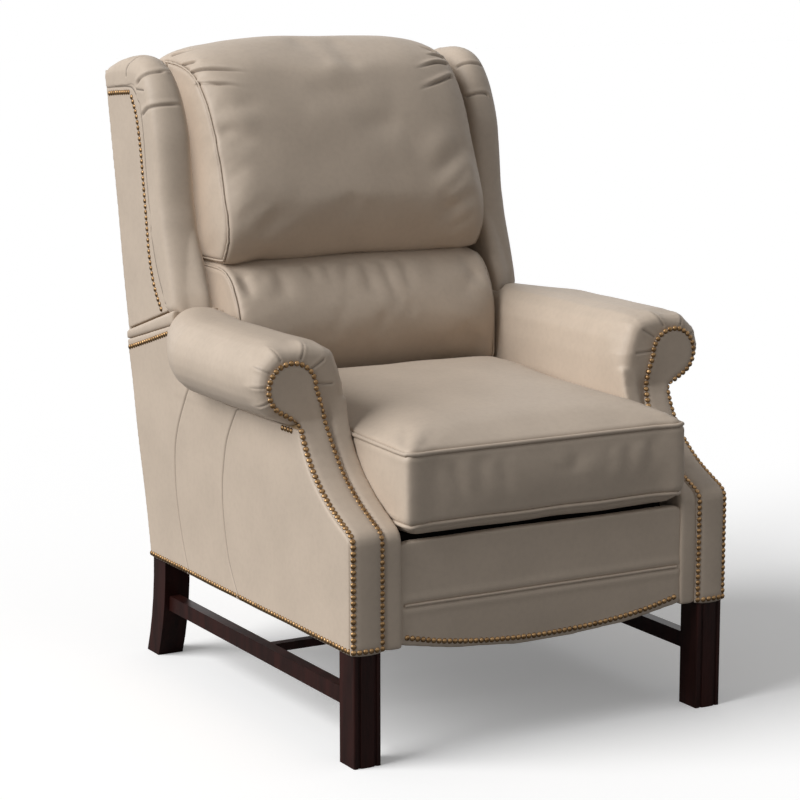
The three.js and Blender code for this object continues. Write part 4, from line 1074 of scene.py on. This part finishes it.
class RECLINER_OT_wings(bpy.types.Operator):
    """Padded wings with their folds, outer panels and nails"""
    bl_idname = "recliner.wings"
    bl_label = "Wings"

    # Folds over the front rolls as pixels of the photograph
    FOLDS = {
        "left": (
            ((136, 86), (138.4, 81), (147.5, 74), (160, 72), (174.5, 74.5)),
            ((141, 117), (146, 110), (153, 106.8), (168.6, 105), (182.5, 106)),
        ),
        "right": (
            ((455, 69), (462, 64.5), (473, 63.3), (483, 67.5)),
            ((464, 98), (473, 94.8), (486, 94), (493.5, 97)),
        ),
    }
    # The nails, the seams round the cap and over the top nails, on the left wing in the photograph
    NAILS = (
        (161.3, 309), (155, 288.1), (149.9, 259.4), (147.4, 230.8), (145.1, 202), (142.8, 173.4), (140.3, 144.7),
        (136.5, 116), (131.7, 97))
    TOP_NAILS = ((128.8, 92.1), (117, 92.6), (109.6, 93.3))
    CAP = ((126, 76), (126.6, 68.2), (131.7, 61.2), (138, 57), (144, 56))
    EDGE = (
        (165.6, 304), (159.8, 282.4), (155, 259.4), (150.8, 230.8), (148.4, 202), (146, 173.4), (144, 144.7),
        (141.6, 120), (138, 101), (134, 91), (129.5, 86.8), (117, 86.8), (107, 87.6))
    # The front roll from the foot up and back over the top: each station's place as (back, up), the angle that
    # it faces and how far in its outer edge reaches over the panel
    ROLL = (
        (628, 641, 0, 55), (635, 660, 0, 57), (644.5, 690, 0, 62), (653, 716, 0, 64), (667, 758, 0, 68),
        (674, 786, 0, 69), (681, 813, 0, 68), (687, 861, 0, 70), (691, 890, 0, 72), (696, 923, 0, 71),
        (703.5, 950, 4, 66), (714, 978, 12, 65), (726, 1003, 25, 62), (743, 1027, 40, 58), (761, 1044, 54, 50),
        (782, 1055, 67, 50), (806, 1060, 79, 52), (835, 1060, 88, 53), (870, 1054, 90, 50), (905, 1044, 94, 43),
        (926, 1037, 102, 37))
    REACH = 85
    # The front roll bulges towards the pillow, and the top is an even half round: each half's width and depth
    FRONT_ROUND = ((48, 26), (17.2, 20))
    # The roll sinks to half its height behind this place
    TAPER = 830
    # Below this height the foot is let down on the arm: all of it by the first drop, and where the arm rounds
    # off by up to the second one more
    FOOT = 662
    FOOT_DROP = (5, 13)

    def execute(self, context):
        for name, side in reversed(SIDES):
            piece = even_copy(
                f"wing_cover_{name}", f"wing_pad_{name}", voxel=3.5, rounding=3, rings=self.rings(side))
            uneven(piece, size=0.14, height=1.6 * MM, seed=12 + side)
            self.seat_foot(piece)
            surface = surface_of(piece)
            folds = [curved(photo_line(surface, pixels)) for pixels in self.FOLDS[name]]
            refine(piece, folds, 8 * MM)
            # The folds get painted shade in their valleys
            for line in folds:
                press(
                    piece, line, 2.6 * MM, 2.6 * MM, ridge=0.5, ends=(0.12, 0.12), beside=(0, 0, 1), dark=0.55)
            self.sew_on(piece, side, (self.CAP, self.EDGE), 1.2)
            dress(piece, "back", f"wing_pad_{name}")
            panel = even_copy(f"wing_panel_cover_{name}", f"wing_panel_{name}", voxel=3, rounding=3)
            uneven(panel, size=0.16, height=1.0 * MM, seed=16 + side)
            self.sew_on(panel, side, (self.EDGE,), 0.8)
            dress(panel, "back", f"wing_panel_{name}")
            surface = surface_of(panel)
            rows = [self.on_side(surface, side, row) for row in (self.NAILS, self.TOP_NAILS)]
            nail_rows(f"wing_nails_{name}", "back", rows, surface)
        return {"FINISHED"}

    @staticmethod
    def on_side(surface, side, pixels):
        """A line that the photograph shows on the left wing, on either wing."""
        return curved(photo_line(surface, pixels, -side))

    def sew_on(self, piece, side, seams, depth):
        """Sew seams into one of the wing's covers."""
        surface = surface_of(piece)
        sew(piece, [self.on_side(surface, side, pixels) for pixels in seams], 1.8 * MM, depth * MM, dark=0.9)

    def rings(self, side):
        """Sections of the padded roll: round over the front, flat beside the panel and the pillow."""
        rings = []
        knots = curved([(u, z, angle) for u, z, angle, _ in self.ROLL], 4)
        reaches = [p.x for p in curved([(reach, 0, 0) for *_, reach in self.ROLL], 4)]
        for (u, z, angle), reach in zip(knots, reaches):
            turn = math.radians(angle)
            taper = 1 - 0.5 * np.clip((u - self.TAPER) / 100, 0, 1)
            even = np.clip(angle / 60, 0, 1)
            halves = [[size + (WING_HALF - size) * even for size in half] for half in self.FRONT_ROUND]
            middle = WING_HALF - halves[0][0]
            section = [(WING_HALF, reach), (-WING_HALF, self.REACH)]
            for i in range(17):
                bend = math.pi * (i / 16 - 0.5)
                wide, deep = halves[0] if bend > 0 else halves[1]
                section.append((middle + wide * math.sin(bend), taper * deep * (1 - math.cos(bend))))
            rings.append([
                place(side * (WING_MIDDLE + x), u + deep * math.cos(turn), z - deep * math.sin(turn))
                for x, deep in section])
        return rings

    def seat_foot(self, piece):
        """Let the foot down on the rounded top of the arm."""
        points = points_of(piece)
        across = (np.abs(points[:, 0]) / MM - ROLL_CENTRE[0]) / ROLL_RADIUS
        least, more = self.FOOT_DROP
        drop = least + np.minimum(ROLL_RADIUS * (1 - np.sqrt(np.clip(1 - across ** 2, 0, 1))), more)
        points[:, 2] -= drop * MM * eased((self.FOOT - points[:, 2] / MM) / 22)
        set_points(piece, points)


class RECLINER_OT_back(bpy.types.Operator):
    """Outside back and the rear covers of the base"""
    bl_idname = "recliner.back"
    bl_label = "Back"

    # The cover is turned in over the top of the frame
    WIDE = 280
    TOP_RETURN = ((930, 1040), (930, 1031), (850, 1035), (850, 1041))

    def execute(self, context):
        slab = (1, (-self.WIDE, self.WIDE), self.TOP_RETURN)
        piece = even_copy("outside_back_cover", "outside_back", voxel=4, rounding=3, slab=slab)
        uneven(piece, size=0.2, height=2.4 * MM, seed=20)
        dress(piece, "back", "outside_back")
        for node in ("rear_panel", "rear_side_panel_right", "rear_side_panel_left"):
            piece = even_copy(f"{node}_cover", node, voxel=3, rounding=2)
            uneven(piece, size=0.16, height=1.2 * MM, seed=21)
            dress(piece, "base", node)
        return {"FINISHED"}


class RECLINER_OT_footrest(bpy.types.Operator):
    """Footrest face with its piping and nails"""
    bl_idname = "recliner.footrest"
    bl_label = "Footrest"

    PIPING_HEIGHT = 248
    PIPING_SHARE = 0.36
    SPREAD = 1.03
    HEM = (
        (-252, 197), (-190, 184), (-120, 175), (-60, 171), (0, 169.5), (60, 171), (120, 175), (190, 184),
        (252, 197))

    def execute(self, context):
        piece = even_copy("footrest_cover", "footrest_pad", voxel=4, rounding=4)
        uneven(piece, size=0.13, height=2.6 * MM, seed=24)
        set_points(piece, points_of(piece) * (self.SPREAD, 1, 1))
        surface = surface_of(piece)
        line = front_line(surface, [(x, self.PIPING_HEIGHT) for x in range(-256, 257, 16)])
        refine(piece, [line], 8 * MM)
        press(piece, line, 4 * MM, 2.4 * MM, ridge=0.5, ends=(0, 0))
        dress(piece, "footrest", "footrest_pad")
        surface = surface_of(piece)
        radius = context.scene.recliner_trim.piping * self.PIPING_SHARE
        cord_along("footrest_piping", "footrest", [line], radius, surface, proud=0.7, closed=False)
        nail_rows("footrest_nails", "footrest", [curved(front_line(surface, self.HEM))], surface)
        return {"FINISHED"}


class RECLINER_OT_frame(bpy.types.Operator):
    """Finishes of the show wood, the inner frame and the steel action"""
    bl_idname = "recliner.frame"
    bl_label = "Frame"

    # What the names of the nodes in each finish start with; the others are bare timber
    STARTS = {
        "wood": ("front_leg", "rear_leg", "side_stretcher", "cross_stretcher"),
        "wire": ("seat_spring",),
        "steel": (
            "mechanism_rail", "front_swing_frame", "rear_swing_frame", "seat_plate", "back_plate",
            "footrest_drive_frame", "footrest_front_link", "footrest_bracket"),
        # The decking cloth is dark partly as painted shade, for the frames seen through gaps between the covers
        "cloth": ("seat_frame", "back_frame", "footrest_board"),
    }

    def execute(self, context):
        for name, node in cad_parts.items():
            if node.hide_render:
                continue
            finish = next((kind for kind, starts in self.STARTS.items() if name.startswith(starts)), "timber")
            for slot in node.material_slots:
                slot.material = finish_of(finish)
        return {"FINISHED"}


class RECLINER_OT_stage(bpy.types.Operator):
    """Pale floor, soft studio light and the camera"""
    bl_idname = "recliner.stage"
    bl_label = "Stage"

    KEY_FROM = (-0.823, 0.09, 0.559)
    KEY_SPREAD = 45
    FLOOR_SIZE = 40
    # The paper's own light for the camera, and its tone for all other rays
    PAPER_LIFT = 0.17
    PAPER_DIM = 0.22

    def execute(self, context):
        studio = context.scene.recliner_studio
        self.floor(studio)
        key = self.sun("key_light", studio.key)
        self.spare(key, [bpy.data.objects[f"wing_cover_{name}"] for name, _ in SIDES])
        self.world(studio)
        bpy.ops.object.camera_add(location=CAMERA_PLACE, rotation=CAMERA_TILT)
        camera = context.object
        camera.name = "camera"
        camera.data.lens = LENS
        camera.data.sensor_width = SENSOR
        context.scene.camera = camera
        context.scene.view_settings.view_transform = "Standard"
        return {"FINISHED"}

    def sun(self, name, strength):
        """The main light, as wide as a large soft box."""
        turn = Vector(self.KEY_FROM).to_track_quat("Z", "Y").to_euler()
        bpy.ops.object.light_add(type="SUN", location=Vector(self.KEY_FROM) * 3, rotation=turn)
        light = bpy.context.object
        light.name = name
        light.data.energy = strength
        light.data.angle = math.radians(self.KEY_SPREAD)
        return light

    @staticmethod
    def spare(light, pieces):
        """Let a light through to the pillows past the wings, as a wide soft box reaches round them."""
        blockers = bpy.data.collections.new("light_blockers")
        light.light_linking.blocker_collection = blockers
        for piece in pieces:
            blockers.objects.link(piece)
        for member in blockers.collection_objects:
            member.light_linking.link_state = "EXCLUDE"

    def floor(self, studio):
        """Matt white paper, lifted a little for the camera so that it meets a white background."""
        bpy.ops.mesh.primitive_plane_add(size=self.FLOOR_SIZE)
        floor = bpy.context.object
        floor.name = "floor"
        material, tree, _ = new_material("white_paper_sweep")
        white = add_node(tree, "BsdfDiffuse", {"Color": studio.floor})
        lift = add_node(tree, "Emission", {"Color": (1, 1, 1), "Strength": self.PAPER_LIFT})
        both = add_node(tree, "AddShader", {0: white, 1: lift})
        dim = add_node(tree, "BsdfDiffuse", {"Color": [self.PAPER_DIM] * 3})
        seen = add_node(tree, "LightPath", {}, "Is Camera Ray")
        shown = add_node(tree, "MixShader", {0: seen, 1: dim, 2: both})
        add_node(tree, "OutputMaterial", {"Surface": shown})
        floor.data.materials.append(material)

    @staticmethod
    def world(studio):
        """White to the camera, in glass and in gloss, and a soft light on all else."""
        world = bpy.context.scene.world or bpy.data.worlds.new("studio")
        bpy.context.scene.world = world
        world.use_nodes = True
        tree = world.node_tree
        tree.nodes.clear()
        rays = add_node(tree, "LightPath", {}).node.outputs
        seen = add_node(tree, "Math", {
            0: rays["Is Camera Ray"], 1: rays["Is Transmission Ray"]}, operation="MAXIMUM")
        shown = add_node(tree, "Math", {0: seen, 1: rays["Is Glossy Ray"]}, operation="MAXIMUM")
        level = add_node(tree, "MapRange", {"Value": shown, "To Min": studio.ambient})
        back = add_node(tree, "Background", {"Color": (1, 1, 1), "Strength": level})
        add_node(tree, "OutputWorld", {"Surface": back})


OPERATORS = (
    RECLINER_OT_seat_cushion, RECLINER_OT_head_pillow, RECLINER_OT_lumbar_pillow, RECLINER_OT_arms,
    RECLINER_OT_arm_fronts, RECLINER_OT_sides, RECLINER_OT_wings, RECLINER_OT_back, RECLINER_OT_footrest,
    RECLINER_OT_frame, RECLINER_OT_stage,
)


class RECLINER_PT_sidebar(bpy.types.Panel):
    """Settings and steps of the recliner"""
    bl_idname = "RECLINER_PT_sidebar"
    bl_label = "Wingback Recliner"
    bl_space_type = "VIEW_3D"
    bl_region_type = "UI"
    bl_category = "Recliner"

    def draw(self, context):
        layout = self.layout
        scene = context.scene
        for group in (scene.recliner_trim, scene.recliner_finish, scene.recliner_studio):
            box = layout.box()
            for name in group.bl_rna.properties.keys():
                if name not in ("rna_type", "name"):
                    box.prop(group, name)
        for operator in OPERATORS:
            layout.operator(operator.bl_idname)


GROUPS = (ReclinerTrim, ReclinerFinish, ReclinerStudio)


def register():
    for made in (*GROUPS, *OPERATORS, RECLINER_PT_sidebar):
        bpy.utils.register_class(made)
    bpy.types.Scene.recliner_trim = PointerProperty(type=ReclinerTrim)
    bpy.types.Scene.recliner_finish = PointerProperty(type=ReclinerFinish)
    bpy.types.Scene.recliner_studio = PointerProperty(type=ReclinerStudio)


def unregister():
    del bpy.types.Scene.recliner_studio
    del bpy.types.Scene.recliner_finish
    del bpy.types.Scene.recliner_trim
    for made in reversed((*GROUPS, *OPERATORS, RECLINER_PT_sidebar)):
        bpy.utils.unregister_class(made)


def main():
    """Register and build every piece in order."""
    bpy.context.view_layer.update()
    register()
    for operator in OPERATORS:
        family, step = operator.bl_idname.split(".")
        getattr(getattr(bpy.ops, family), step)()


if __name__ == "__main__":
    main()
